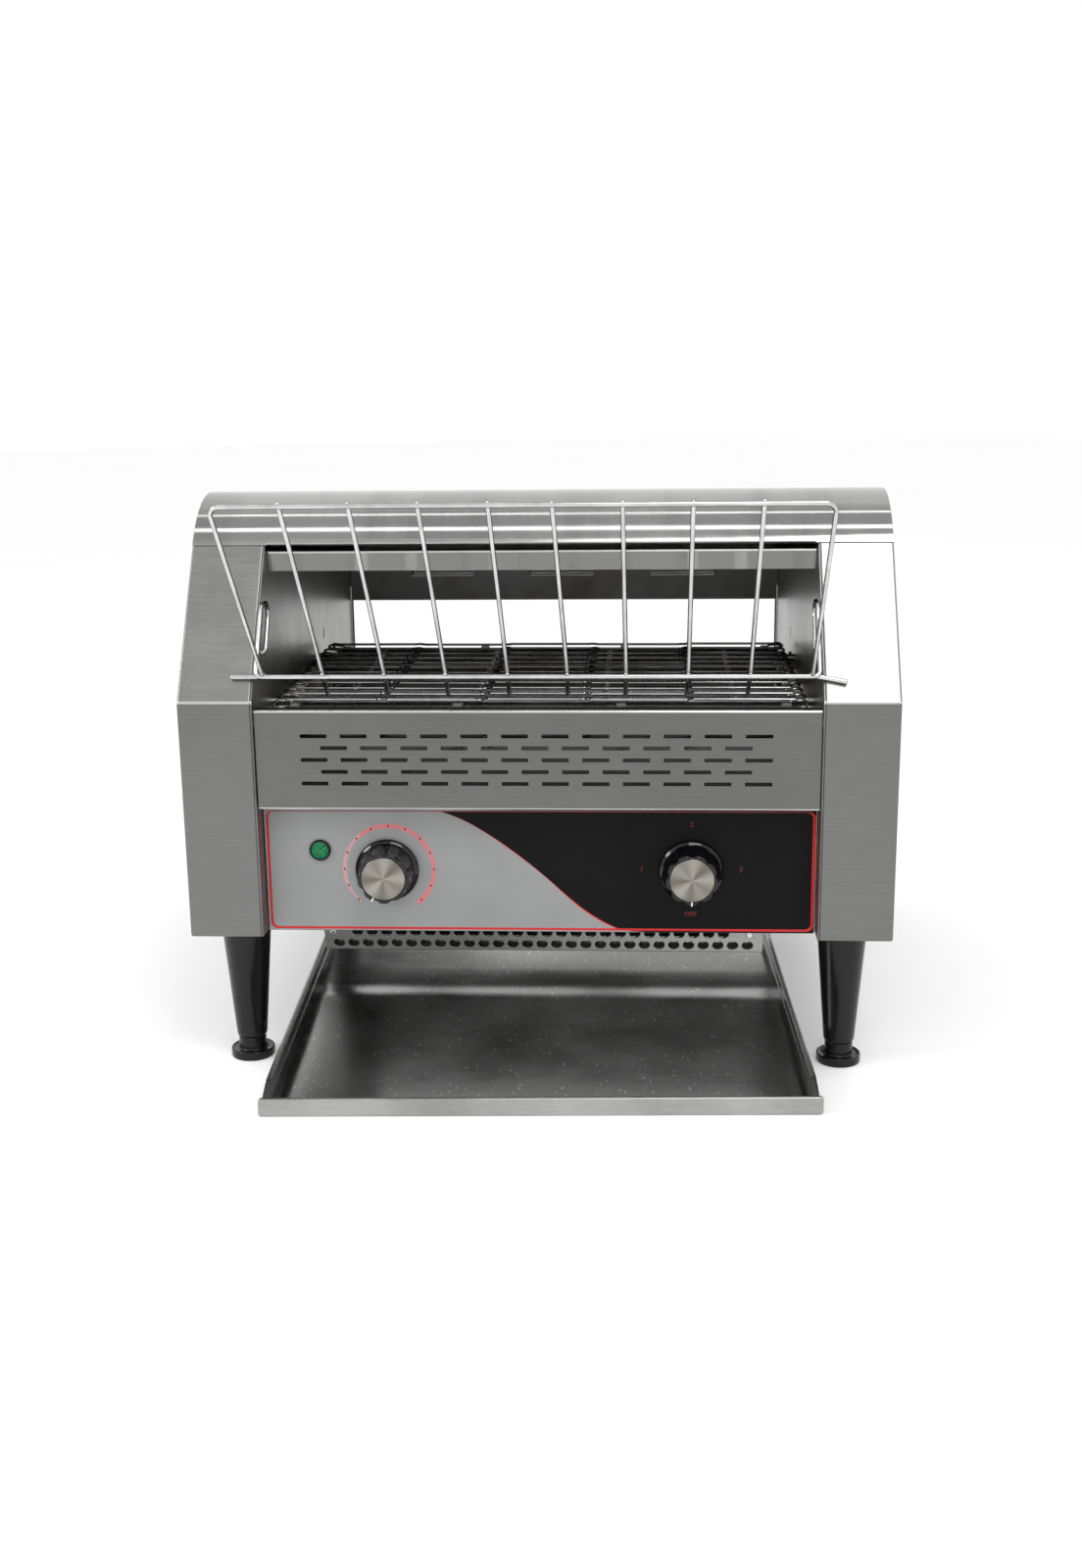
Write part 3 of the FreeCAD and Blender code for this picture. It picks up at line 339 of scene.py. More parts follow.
def bend3(pts, r, step=12.0):
    """Open path in space with tangent arcs at its corners."""
    pts = [Vector(p) for p in pts]
    out = [pts[0]]
    for i in range(1, len(pts) - 1):
        a, c, d = pts[i - 1], pts[i], pts[i + 1]
        rr = r[i - 1] if isinstance(r, (list, tuple)) else r
        u, w = (a - c).normalized(), (d - c).normalized()
        full = u.angle(w)
        if rr < 1e-6 or math.pi - full < 1e-3:
            out.append(c)
            continue
        t = min(rr / math.tan(full / 2), 0.49 * (a - c).length, 0.49 * (d - c).length)
        rr = t * math.tan(full / 2)
        p, q = c + u * t, c + w * t
        cen = c + (u + w).normalized() * (rr / math.sin(full / 2))
        turn = math.pi - full
        n = max(2, int(math.ceil(math.degrees(turn) / step)))
        s0, s1 = p - cen, q - cen
        for k in range(n + 1):
            f = k / n
            out.append(cen + (s0 * math.sin((1 - f) * turn) + s1 * math.sin(f * turn)) / math.sin(turn))
    out.append(pts[-1])
    clean = [out[0]]
    for p in out[1:]:
        if (p - clean[-1]).length > 1e-3:
            clean.append(p)
    return clean


def wire(g, pts, r, n=10, mi=0, ends=True, rfun=None):
    """Round wire along a path, its ends rounded over."""
    pts = [Vector(p) for p in pts]
    tang = []
    for i in range(len(pts)):
        a = pts[max(0, i - 1)]
        b = pts[min(len(pts) - 1, i + 1)]
        tang.append((b - a).normalized())
    ref = Vector((0, 0, 1)) if abs(tang[0].z) < 0.9 else Vector((0, 1, 0))
    u = tang[0].cross(ref).normalized()
    rings = []

    def ring(c, t, u, rad):
        w = t.cross(u)
        return [c + u * (rad * math.cos(2 * math.pi * k / n)) + w * (rad * math.sin(2 * math.pi * k / n)) for k in range(n)]
    if ends:
        for f in (0.0, 0.5, 0.85):
            rings.append(ring(pts[0] - tang[0] * (r * 0.6 * (1 - f) * 1.0), tang[0], u, r * math.sin(math.acos(1 - f)) if f else r * 0.18))
    for i, p in enumerate(pts):
        if i:
            q = tang[i - 1].rotation_difference(tang[i])
            u = (q @ u)
            u = (u - tang[i] * u.dot(tang[i])).normalized()
        rad = r if rfun is None else r * rfun(i, p)
        rings.append(ring(p, tang[i], u, rad))
    if ends:
        for f in (0.85, 0.5, 0.0):
            rings.append(ring(pts[-1] + tang[-1] * (r * 0.6 * (1 - f)), tang[-1], u, r * math.sin(math.acos(1 - f)) if f else r * 0.18))
    vs = [p for rg in rings for p in rg]
    fs = []
    for i in range(len(rings) - 1):
        for k in range(n):
            j = (k + 1) % n
            fs.append((i * n + k, i * n + j, (i + 1) * n + j, (i + 1) * n + k))
    fs.append(tuple(range(n))[::-1])
    m = (len(rings) - 1) * n
    fs.append(tuple(m + k for k in range(n)))
    g.add(vs, fs, mi)


def blob(g, c, rx, ry, rz, mi=0, n=10, m=6, rot=None):
    """Small weld bead."""
    vs, fs = [], []
    for i in range(m + 1):
        a = math.pi * i / m
        for k in range(n):
            t = 2 * math.pi * k / n
            p = Vector((rx * math.sin(a) * math.cos(t), ry * math.sin(a) * math.sin(t), rz * math.cos(a)))
            if rot is not None:
                p = rot @ p
            vs.append(Vector(c) + p)
    for i in range(m):
        for k in range(n):
            j = (k + 1) % n
            fs.append((i * n + k, i * n + j, (i + 1) * n + j, (i + 1) * n + k))
    g.add(vs, fs, mi)


def loft(g, rings, cap0=True, cap1=True, mi=0):
    n = len(rings[0])
    vs = [p for r in rings for p in r]
    fs = []
    for i in range(len(rings) - 1):
        for k in range(n):
            j = (k + 1) % n
            fs.append((i * n + k, i * n + j, (i + 1) * n + j, (i + 1) * n + k))
    if cap0:
        fs.append(tuple(range(n))[::-1])
    if cap1:
        fs.append(tuple((len(rings) - 1) * n + k for k in range(n)))
    g.add(vs, fs, mi)


# ================================================================ materials
def base_mat(name):
    m = bpy.data.materials.new(name)
    m.use_nodes = True
    nt = m.node_tree
    b = nt.nodes["Principled BSDF"]
    return m, nt, b


def link(nt, a, b):
    nt.links.new(a, b)


def coords(nt, scale, kind="Object"):
    tc = nt.nodes.new("ShaderNodeTexCoord")
    mp = nt.nodes.new("ShaderNodeMapping")
    mp.inputs["Scale"].default_value = scale
    link(nt, tc.outputs[kind], mp.inputs["Vector"])
    return mp.outputs["Vector"]


def noise_of(nt, vec, scale=1.0, detail=3.0, rough=0.55):
    n = nt.nodes.new("ShaderNodeTexNoise")
    n.inputs["Scale"].default_value = scale
    n.inputs["Detail"].default_value = detail
    n.inputs["Roughness"].default_value = rough
    link(nt, vec, n.inputs["Vector"])
    return n.outputs["Fac"]


def span(nt, val, a, b, lo=0.3, hi=0.7):
    m = nt.nodes.new("ShaderNodeMapRange")
    m.inputs["From Min"].default_value = lo
    m.inputs["From Max"].default_value = hi
    m.inputs["To Min"].default_value = a
    m.inputs["To Max"].default_value = b
    link(nt, val, m.inputs["Value"])
    return m.outputs["Result"]


def calc(nt, op, a, b):
    m = nt.nodes.new("ShaderNodeMath")
    m.operation = op
    for i, v in enumerate((a, b)):
        if isinstance(v, (int, float)):
            m.inputs[i].default_value = v
        else:
            link(nt, v, m.inputs[i])
    return m.outputs[0]


def blend_col(nt, fac, a, b):
    m = nt.nodes.new("ShaderNodeMix")
    m.data_type = "RGBA"
    if isinstance(fac, (int, float)):
        m.inputs[0].default_value = fac
    else:
        link(nt, fac, m.inputs[0])
    for i, c in ((6, a), (7, b)):
        if isinstance(c, (tuple, list)):
            m.inputs[i].default_value = (*c, 1.0)
        else:
            link(nt, c, m.inputs[i])
    return m.outputs[2]


def grain_scale(axis, along, across):
    return tuple(along if a == axis else across for a in "XYZ")


def steel(name, lo, hi, rough=(0.26, 0.36), axis="X", aniso=0.4, streak=1.0, smudge=1.0, wave=0.0, tint=(1.0, 1.0, 0.985), heat=None, painted_reflection_streaks=0.0, dish=0.0, marks=0.0):
    """Brushed sheet: fine lines along one axis, wiped smudges, a slightly uneven sheet."""
    m, nt, b = base_mat(name)
    v1 = coords(nt, grain_scale(axis, 70.0, 1900.0))
    v2 = coords(nt, grain_scale(axis, 26.0, 1100.0))
    v3 = coords(nt, (9.0, 9.0, 9.0))
    fine = noise_of(nt, v1, 1.0, 4.0, 0.65)
    broad = noise_of(nt, v2, 1.0, 3.0, 0.6)
    smear = noise_of(nt, v3, 1.0, 5.0, 0.6)
    mix = calc(nt, "ADD", calc(nt, "MULTIPLY", fine, 0.5), calc(nt, "MULTIPLY", broad, 0.5))
    f = span(nt, mix, 0.0, 1.0, 0.5 - 0.2 / max(streak, 0.01), 0.5 + 0.2 / max(streak, 0.01))
    f2 = span(nt, smear, -0.25 * smudge, 0.25 * smudge, 0.3, 0.7)
    fac = calc(nt, "ADD", f, f2)
    cl = nt.nodes.new("ShaderNodeClamp")
    link(nt, fac, cl.inputs["Value"])
    col = blend_col(nt, cl.outputs[0], tuple(lo * t for t in tint), tuple(hi * t for t in tint))
    if heat is not None:
        hv = noise_of(nt, coords(nt, (14.0, 14.0, 14.0)), 1.0, 4.0, 0.6)
        col = blend_col(nt, span(nt, hv, 0.0, 0.85, 0.42, 0.66), col, heat)
    if painted_reflection_streaks:
        # painted reflection streaks running upright across the sheet: darker streaks for a positive value, bright
        # painted highlight streaks for a negative one
        bv = noise_of(nt, coords(nt, (24.0, 1.5, 3.0)), 1.0, 4.0, 0.6)
        if painted_reflection_streaks > 0:
            col = blend_col(nt, span(nt, bv, 0.0, painted_reflection_streaks, 0.46, 0.64), col, tuple(lo * 0.72 * t for t in tint))
        else:
            bw = noise_of(nt, coords(nt, (62.0, 1.5, 3.0)), 1.0, 2.0, 0.5)
            col = blend_col(nt, span(nt, bw, 0.0, -painted_reflection_streaks, 0.60, 0.70), col, tuple(hi * 1.75 * t for t in tint))
    if marks:
        # a few light scratches and specks from use
        sv = noise_of(nt, coords(nt, (52.0, 17.0, 30.0)), 1.0, 2.0, 0.5)
        ln = calc(nt, "ABSOLUTE", calc(nt, "SUBTRACT", sv, 0.5), 0.0)
        pick = noise_of(nt, coords(nt, (16.0, 16.0, 16.0)), 1.0, 1.0, 0.5)
        ln = calc(nt, "MULTIPLY", span(nt, ln, 1.0, 0.0, 0.0005, 0.0024), span(nt, pick, 0.0, 1.0, 0.63, 0.68))
        dots_ = noise_of(nt, coords(nt, (430.0, 190.0, 430.0)), 1.0, 0.0, 0.5)
        ln = calc(nt, "MAXIMUM", ln, span(nt, dots_, 0.0, 0.6, 0.745, 0.79))
        col = blend_col(nt, calc(nt, "MULTIPLY", ln, 0.55 * marks), col, (0.85, 0.85, 0.84))
    link(nt, col, b.inputs["Base Color"])
    b.inputs["Metallic"].default_value = 1.0
    r = calc(nt, "ADD", span(nt, mix, rough[0], rough[1], 0.3, 0.7), span(nt, smear, -0.04 * smudge, 0.05 * smudge, 0.3, 0.7))
    link(nt, r, b.inputs["Roughness"])
    if aniso:
        b.inputs["Anisotropic"].default_value = aniso
        tn = nt.nodes.new("ShaderNodeTangent")
        tn.direction_type = "RADIAL"
        tn.axis = axis
        link(nt, tn.outputs[0], b.inputs["Tangent"])
    bp = nt.nodes.new("ShaderNodeBump")
    bp.inputs["Strength"].default_value = 0.10 * streak
    bp.inputs["Distance"].default_value = 0.00006
    link(nt, mix, bp.inputs["Height"])
    last = bp
    if wave:
        wv = noise_of(nt, coords(nt, (5.0, 5.0, 5.0)), 1.0, 2.0, 0.5)
        b2 = nt.nodes.new("ShaderNodeBump")
        b2.inputs["Strength"].default_value = 1.0
        b2.inputs["Distance"].default_value = wave / 1000.0
        link(nt, wv, b2.inputs["Height"])
        link(nt, bp.outputs["Normal"], b2.inputs["Normal"])
        last = b2
    if dish:
        # the sheet isn't quite flat: it dips a little towards the rear
        sp = nt.nodes.new("ShaderNodeSeparateXYZ")
        link(nt, coords(nt, (1.0, 1.0, 1.0)), sp.inputs[0])
        yy = calc(nt, "MAXIMUM", calc(nt, "ADD", sp.outputs["Y"], 0.10), 0.0)
        wob = span(nt, noise_of(nt, coords(nt, (4.0, 2.5, 4.0)), 1.0, 1.0, 0.5), 0.6, 1.4, 0.3, 0.7)
        hh = calc(nt, "MULTIPLY", calc(nt, "MULTIPLY", calc(nt, "MINIMUM", calc(nt, "MULTIPLY", calc(nt, "MULTIPLY", yy, yy), 5.0), yy), dish), wob)
        # a soft crease across the sheet, and edges that sag a little
        step = nt.nodes.new("ShaderNodeMapRange")
        step.interpolation_type = "SMOOTHERSTEP"
        step.inputs["From Min"].default_value = -0.0350
        step.inputs["From Max"].default_value = 0.0060
        step.inputs["To Min"].default_value = 0.0
        step.inputs["To Max"].default_value = -0.0034
        link(nt, sp.outputs["Y"], step.inputs["Value"])
        wob2 = span(nt, noise_of(nt, coords(nt, (9.0, 1.0, 1.0)), 1.0, 1.0, 0.5), 0.40, 1.20, 0.3, 0.7)
        hh = calc(nt, "ADD", hh, calc(nt, "MULTIPLY", step.outputs["Result"], wob2))
        le = calc(nt, "MAXIMUM", calc(nt, "SUBTRACT", -0.098, sp.outputs["X"]), 0.0)
        ri = calc(nt, "MAXIMUM", calc(nt, "SUBTRACT", sp.outputs["X"], 0.125), 0.0)
        sag = calc(nt, "ADD", calc(nt, "MULTIPLY", calc(nt, "MULTIPLY", le, le), 0.75), calc(nt, "MULTIPLY", calc(nt, "MULTIPLY", ri, ri), 0.35))
        fade = nt.nodes.new("ShaderNodeMapRange")
        fade.interpolation_type = "SMOOTHERSTEP"
        fade.inputs["From Min"].default_value = -0.17
        fade.inputs["From Max"].default_value = 0.07
        fade.inputs["To Min"].default_value = 1.0
        fade.inputs["To Max"].default_value = 0.45
        link(nt, sp.outputs["Y"], fade.inputs["Value"])
        hh = calc(nt, "SUBTRACT", hh, calc(nt, "MULTIPLY", sag, fade.outputs["Result"]))
        b3 = nt.nodes.new("ShaderNodeBump")
        b3.inputs["Strength"].default_value = 1.0
        b3.inputs["Distance"].default_value = 1.0
        b3.invert = False
        link(nt, hh, b3.inputs["Height"])
        link(nt, last.outputs["Normal"], b3.inputs["Normal"])
        last = b3
    link(nt, last.outputs["Normal"], b.inputs["Normal"])
    return m


def plated(name, lo, hi, rough=(0.12, 0.22), scale=60.0, tint=(1, 1, 1), heat=None, bump=0.15, painted_shade_span=None, edge=None):
    """Wire and small turned parts: bright metal with fine drawn marks and light tarnish. With a painted-shade span the
    tarnish colour is also laid on as painted shade, deeper into the chamber and on the belt's lower run; a dark edge
    value paints dark reflections at grazing angles.
    """
    m, nt, b = base_mat(name)
    n1 = noise_of(nt, coords(nt, (scale, scale, scale)), 1.0, 4.0, 0.6)
    n2 = noise_of(nt, coords(nt, (1500.0, 1500.0, 1500.0)), 1.0, 2.0, 0.5)
    col = blend_col(nt, span(nt, n1, 0.0, 1.0, 0.32, 0.68), tuple(lo * t for t in tint), tuple(hi * t for t in tint))
    if heat is not None:
        hv = noise_of(nt, coords(nt, (22.0, 22.0, 22.0)), 1.0, 4.0, 0.6)
        f = span(nt, hv, 0.0, 0.8, 0.45, 0.68)
        # painted shade: the tarnish colour grows towards the rear of the chamber and covers the lower run and drum
        # bends below the top of the belt
        if painted_shade_span:
            sp = nt.nodes.new("ShaderNodeSeparateXYZ")
            link(nt, coords(nt, (1.0, 1.0, 1.0)), sp.inputs[0])
            d = span(nt, sp.outputs["Y"], 0.0, 1.0, painted_shade_span[0], painted_shade_span[1])
            f = calc(nt, "MINIMUM", calc(nt, "MULTIPLY", calc(nt, "ADD", calc(nt, "MULTIPLY", f, 0.6), 0.55), d), 1.0)
            painted_shade_low = span(nt, sp.outputs["Z"], 1.0, 0.0, 0.2500, 0.2545)
            f = calc(nt, "MAXIMUM", f, painted_shade_low)
        col = blend_col(nt, f, col, heat)
    link(nt, col, b.inputs["Base Color"])
    b.inputs["Metallic"].default_value = 1.0
    link(nt, span(nt, n1, rough[0], rough[1], 0.3, 0.7), b.inputs["Roughness"])
    bp = nt.nodes.new("ShaderNodeBump")
    # a dark specular tint paints dark reflections along the grazing edges
    if edge is not None:
        b.inputs["Specular Tint"].default_value = (edge, edge, edge, 1.0)
    bp.inputs["Strength"].default_value = bump
    bp.inputs["Distance"].default_value = 0.00005
    link(nt, n2, bp.inputs["Height"])
    link(nt, bp.outputs["Normal"], b.inputs["Normal"])
    return m


def plastic(name, lo, hi, rough=(0.2, 0.3), coat=0.0, bump=0.08, scale=900.0, ior=1.5, spec=0.5):
    m, nt, b = base_mat(name)
    n1 = noise_of(nt, coords(nt, (18.0, 18.0, 18.0)), 1.0, 4.0, 0.6)
    n2 = noise_of(nt, coords(nt, (scale, scale, scale)), 1.0, 3.0, 0.6)
    col = blend_col(nt, span(nt, n1, 0.0, 1.0, 0.3, 0.7), lo, hi)
    link(nt, col, b.inputs["Base Color"])
    link(nt, span(nt, n1, rough[0], rough[1], 0.3, 0.7), b.inputs["Roughness"])
    b.inputs["IOR"].default_value = ior
    b.inputs["Specular IOR Level"].default_value = spec
    if coat:
        b.inputs["Coat Weight"].default_value = coat
        b.inputs["Coat Roughness"].default_value = 0.08
    bp = nt.nodes.new("ShaderNodeBump")
    bp.inputs["Strength"].default_value = bump
    bp.inputs["Distance"].default_value = 0.00008
    link(nt, n2, bp.inputs["Height"])
    link(nt, bp.outputs["Normal"], b.inputs["Normal"])
    return m


M_house = steel("housing_steel", 0.152, 0.200, (0.27, 0.37), "X", 0.35, 0.75, 0.7, wave=0.08)
# same steel as the housing fronts, made lighter on the slanted faces as painted light from the lamps above
M_slant_painted_light = steel("slanted_face_painted_light", 0.235, 0.335, (0.23, 0.33), "X", 0.35, 0.7, 1.7, wave=0.14)
# hood: darker painted reflection streaks
M_hood = steel("hood_steel", 0.36, 0.47, (0.060, 0.100), "X", 0.2, 0.6, 0.9, wave=0.16, painted_reflection_streaks=0.45)
M_louvre = steel("louvre_steel", 0.128, 0.172, (0.24, 0.34), "X", 0.35, 0.8, 0.9, wave=0.06)
# much lighter steel for the bends: a painted highlight along the folds
M_fold_highlight = steel("fold_painted_highlight", 0.50, 0.66, (0.14, 0.24), "X", 0.0, 0.6, 0.8)
M_hem = steel("hem_steel", 0.36, 0.48, (0.12, 0.2), "X", 0.0, 0.6, 0.8)
# near-white steel for the chamber walls' front edge: a painted highlight
M_rim_highlight = steel("wall_edge_painted_highlight", 0.80, 0.94, (0.12, 0.2), "X", 0.0, 0.5, 0.6)
# near-white steel for the rear vent tabs: a painted highlight on their lit tops
M_tab_highlight = steel("vent_tab_painted_highlight", 0.88, 0.96, (0.12, 0.2), "X", 0.0, 0.5, 0.8)
M_wheel = plated("belt_drum_steel", 0.15, 0.21, (0.26, 0.38), scale=50.0, heat=(0.12, 0.11, 0.10), bump=0.05)
M_panel = steel("panel_steel", 0.30, 0.38, (0.25, 0.35), "X", 0.3)
M_wall = steel("wall_steel", 0.168, 0.225, (0.27, 0.37), "Y", 0.3, 0.8, 1.0, heat=(0.130, 0.122, 0.112))
M_inner = steel("inner_steel", 0.135, 0.190, (0.3, 0.42), "X", 0.2, 0.8, 1.0, heat=(0.105, 0.096, 0.085))
# reflector: bright painted highlight streaks
M_refl = steel("reflector_steel", 0.21, 0.275, (0.13, 0.20), "X", 0.3, 0.6, 0.9, wave=0.10, painted_reflection_streaks=-0.6)
M_belly = steel("belly_steel", 0.30, 0.40, (0.24, 0.34), "X", 0.3, 0.8)
M_tray = steel("tray_steel", 0.27, 0.36, (0.155, 0.235), "X", 0.25, 0.7, 1.3, wave=0.10, dish=0.056, marks=1.0)
M_lip = steel("tray_lip_steel", 0.31, 0.45, (0.24, 0.36), "X", 0.2, 0.8, 2.4, wave=0.10)
M_trayw = steel("tray_side_steel", 0.20, 0.27, (0.2, 0.3), "Y", 0.2, 0.7, 1.3)
# rack and belt wires: dark specular tint as painted dark edge reflections
M_rack = plated("rack_wire_plate", 0.50, 0.68, (0.07, 0.14), bump=0.03, edge=0.10)
# belt wires: random heat tarnish plus painted shade towards the rear and on the lower run
M_belt = plated("belt_wire_steel", 0.50, 0.68, (0.12, 0.22), heat=(0.115, 0.105, 0.096), bump=0.03, painted_shade_span=(-0.115, -0.035), edge=0.12)
M_mach = plated("machine_steel", 0.36, 0.50, (0.22, 0.36), scale=90.0)
M_zinc = plated("zinc_screw", 0.50, 0.66, (0.16, 0.28), scale=120.0)
M_bronze = plated("bearing_bronze", 0.40, 0.58, (0.30, 0.42), tint=(1.0, 0.74, 0.44))
M_motor = plated("motor_case", 0.26, 0.36, (0.30, 0.42), tint=(0.96, 1.0, 1.0), scale=40.0)
M_knob = plastic("knob_black", (0.0015, 0.0016, 0.002), (0.0035, 0.0036, 0.0045), (0.05, 0.09), coat=0.25, bump=0.02, spec=0.34)
M_bezel = plastic("bezel_black", (0.002, 0.002, 0.002), (0.005, 0.005, 0.005), (0.12, 0.2), spec=0.35)
M_leg = plastic("leg_black", (0.0025, 0.0025, 0.0025), (0.005, 0.005, 0.0048), (0.16, 0.26), coat=0.06, bump=0.10, scale=500.0, spec=0.30)
M_mould = plastic("moulded_black", (0.02, 0.02, 0.021), (0.045, 0.045, 0.046), (0.42, 0.56), bump=0.3)
M_white = plastic("pointer_white", (0.78, 0.78, 0.76), (0.88, 0.88, 0.86), (0.4, 0.5))
M_ceram = plastic("heater_ceramic", (0.66, 0.63, 0.56), (0.80, 0.78, 0.72), (0.3, 0.45), coat=0.2)
M_grey = plastic("print_grey", (0.262, 0.264, 0.266), (0.298, 0.300, 0.302), (0.46, 0.54), bump=0.12, scale=2600.0, spec=0.25)
M_black = plastic("print_black", (0.0035, 0.0035, 0.0038), (0.007, 0.007, 0.0073), (0.46, 0.56), bump=0.16, scale=2600.0, spec=0.10)
M_red = plastic("print_red", (0.50, 0.012, 0.014), (0.60, 0.024, 0.022), (0.40, 0.48), bump=0.10, scale=2600.0, spec=0.3)
# dark red: real print for the dots and marks, and painted shadow on the top strip of the frame
M_dred_print_and_shadow = plastic("dark_red_print_and_painted_shadow", (0.20, 0.010, 0.014), (0.27, 0.018, 0.020), (0.40, 0.48), bump=0.10, scale=2600.0, spec=0.3)
M_pink = plastic("print_pink", (0.56, 0.165, 0.175), (0.62, 0.205, 0.215), (0.40, 0.48), bump=0.10, scale=2600.0, spec=0.3)
M_pale = plastic("print_pale_pink", (0.50, 0.27, 0.285), (0.56, 0.32, 0.335), (0.40, 0.48), bump=0.10, scale=2600.0, spec=0.3)


def cap_material(name, cx, cz):
    """Spun disc: fine circular lines, with soft radial fans around the middle of the knob as painted reflection."""
    m, nt, b = base_mat(name)
    tc = nt.nodes.new("ShaderNodeTexCoord")
    mp = nt.nodes.new("ShaderNodeMapping")
    c = P(cx, 0, cz)
    mp.inputs["Location"].default_value = (-c[0], 0.0, -c[2])
    link(nt, tc.outputs["Object"], mp.inputs["Vector"])
    sp = nt.nodes.new("ShaderNodeSeparateXYZ")
    link(nt, mp.outputs["Vector"], sp.inputs[0])
    an = calc(nt, "ARCTAN2", sp.outputs["Z"], sp.outputs["X"])
    rad = calc(nt, "SQRT", calc(nt, "ADD", calc(nt, "MULTIPLY", sp.outputs["X"], sp.outputs["X"]), calc(nt, "MULTIPLY", sp.outputs["Z"], sp.outputs["Z"])), 0.0)
    rings = noise_of(nt, _vec(nt, calc(nt, "MULTIPLY", rad, 4200.0), 0.0, 0.0), 1.0, 3.0, 0.6)
    reflection_fan = calc(nt, "SINE", calc(nt, "ADD", calc(nt, "MULTIPLY", an, 5.0), 0.9), 0.0)
    reflection_fan2 = calc(nt, "SINE", calc(nt, "ADD", calc(nt, "MULTIPLY", an, 3.0), 2.2), 0.0)
    reflection_fans = calc(nt, "ADD", calc(nt, "MULTIPLY", reflection_fan, 0.5), calc(nt, "MULTIPLY", reflection_fan2, 0.35))
    f = span(nt, reflection_fans, 0.0, 1.0, -0.8, 0.85)
    f = calc(nt, "ADD", f, span(nt, rings, -0.12, 0.12, 0.3, 0.7))
    cl = nt.nodes.new("ShaderNodeClamp")
    link(nt, f, cl.inputs["Value"])
    col = blend_col(nt, cl.outputs[0], (0.150, 0.135, 0.113), (0.335, 0.320, 0.290))
    link(nt, col, b.inputs["Base Color"])
    b.inputs["Metallic"].default_value = 1.0
    link(nt, span(nt, rings, 0.24, 0.34, 0.3, 0.7), b.inputs["Roughness"])
    bp = nt.nodes.new("ShaderNodeBump")
    bp.inputs["Strength"].default_value = 0.35
    bp.inputs["Distance"].default_value = 0.00004
    link(nt, rings, bp.inputs["Height"])
    link(nt, bp.outputs["Normal"], b.inputs["Normal"])
    return m


def _vec(nt, x, y, z):
    c = nt.nodes.new("ShaderNodeCombineXYZ")
    for i, v in enumerate((x, y, z)):
        if isinstance(v, (int, float)):
            c.inputs[i].default_value = v
        else:
            link(nt, v, c.inputs[i])
    return c.outputs[0]


def lamp_material():
    m, nt, b = base_mat("lamp_green")
    vo = nt.nodes.new("ShaderNodeTexVoronoi")
    vo.feature = "F1"
    vo.inputs["Scale"].default_value = 1.0
    link(nt, coords(nt, (900.0, 900.0, 900.0)), vo.inputs["Vector"])
    col = blend_col(nt, span(nt, vo.outputs["Distance"], 0.0, 1.0, 0.1, 0.75), (0.0, 0.27, 0.085), (0.0, 0.07, 0.022))
    link(nt, col, b.inputs["Base Color"])
    b.inputs["Roughness"].default_value = 0.12
    b.inputs["Transmission Weight"].default_value = 0.10
    b.inputs["Specular IOR Level"].default_value = 0.3
    link(nt, col, b.inputs["Emission Color"])
    b.inputs["Emission Strength"].default_value = 0.28
    bp = nt.nodes.new("ShaderNodeBump")
    bp.inputs["Strength"].default_value = 0.6
    bp.inputs["Distance"].default_value = 0.0003
    link(nt, vo.outputs["Distance"], bp.inputs["Height"])
    link(nt, bp.outputs["Normal"], b.inputs["Normal"])
    return m


def quartz_material():
    m, nt, b = base_mat("heater_tube")
    n1 = noise_of(nt, coords(nt, (60.0, 60.0, 60.0)), 1.0, 3.0, 0.6)
    link(nt, blend_col(nt, n1, (0.72, 0.72, 0.72), (0.86, 0.86, 0.84)), b.inputs["Base Color"])
    link(nt, span(nt, n1, 0.18, 0.30, 0.3, 0.7), b.inputs["Roughness"])
    b.inputs["Transmission Weight"].default_value = 0.75
    b.inputs["IOR"].default_value = 1.46
    return m


M_lamp = lamp_material()
M_quartz = quartz_material()
M_capL = cap_material("cap_left", -102.0, 43.5)
M_capR = cap_material("cap_right", 102.0, 43.5)

# ================================================================ side outline
ANG = math.atan2(94.6, 66.5)
NIN = (math.sin(ANG), -math.cos(ANG))
TD = (math.cos(ANG), math.sin(ANG))
C0 = (66.5, 256.1)
CEN1, RAD1 = (C0[0] + NIN[0] * 72.0, C0[1] + NIN[1] * 72.0), 72.0
FALL = math.radians(8.0)
D0 = (CEN1[0] + RAD1 * math.sin(FALL), CEN1[1] + RAD1 * math.cos(FALL))
RAD2 = 40.0
CEN2 = (378.0, D0[1] - (378.0 - D0[0]) * math.tan(FALL) - RAD2 / math.cos(FALL))


def on_arc(c, r, a):
    return (c[0] + r * math.sin(a), c[1] + r * math.cos(a))


def roof(d, n1=22, n2=14):
    p = [on_arc(CEN1, RAD1 - d, -ANG + (FALL + ANG) * k / n1) for k in range(n1 + 1)]
    q = [on_arc(CEN2, RAD2 - d, FALL + (math.pi / 2 - FALL) * k / n2) for k in range(n2 + 1)]
    return p + q


def side_outline(d, step=0.7, bend=3.0, foot=1.6):
    """Side outline of a housing, all of it d further in: front, slanted face, step down under the hood, roof, rear."""
    a = (d, d)
    b = (d, 161.5 + d * NIN[1] + (d - d * NIN[0]) * math.tan(ANG))
    c = (C0[0] + NIN[0] * d - TD[0] * step, C0[1] + NIN[1] * d - TD[1] * step)
    rf = roof(1.5 + d)
    c2 = (c[0] + NIN[0] * 1.5, c[1] + NIN[1] * 1.5)
    mid = ((a[0] + b[0]) / 2, (a[1] + b[1]) / 2)
    front, _ = round2([(60.0, d), a, b, c], [max(foot - d, 0.15), max(bend - d, 0.3)], 12.0)
    rear = (416.5 - d, d)
    back, _ = round2([rf[-1], rear, (60.0, d)], [max(foot - d, 0.15)], 15.0)
    return front[1:] + [c2] + rf + back[1:-1]


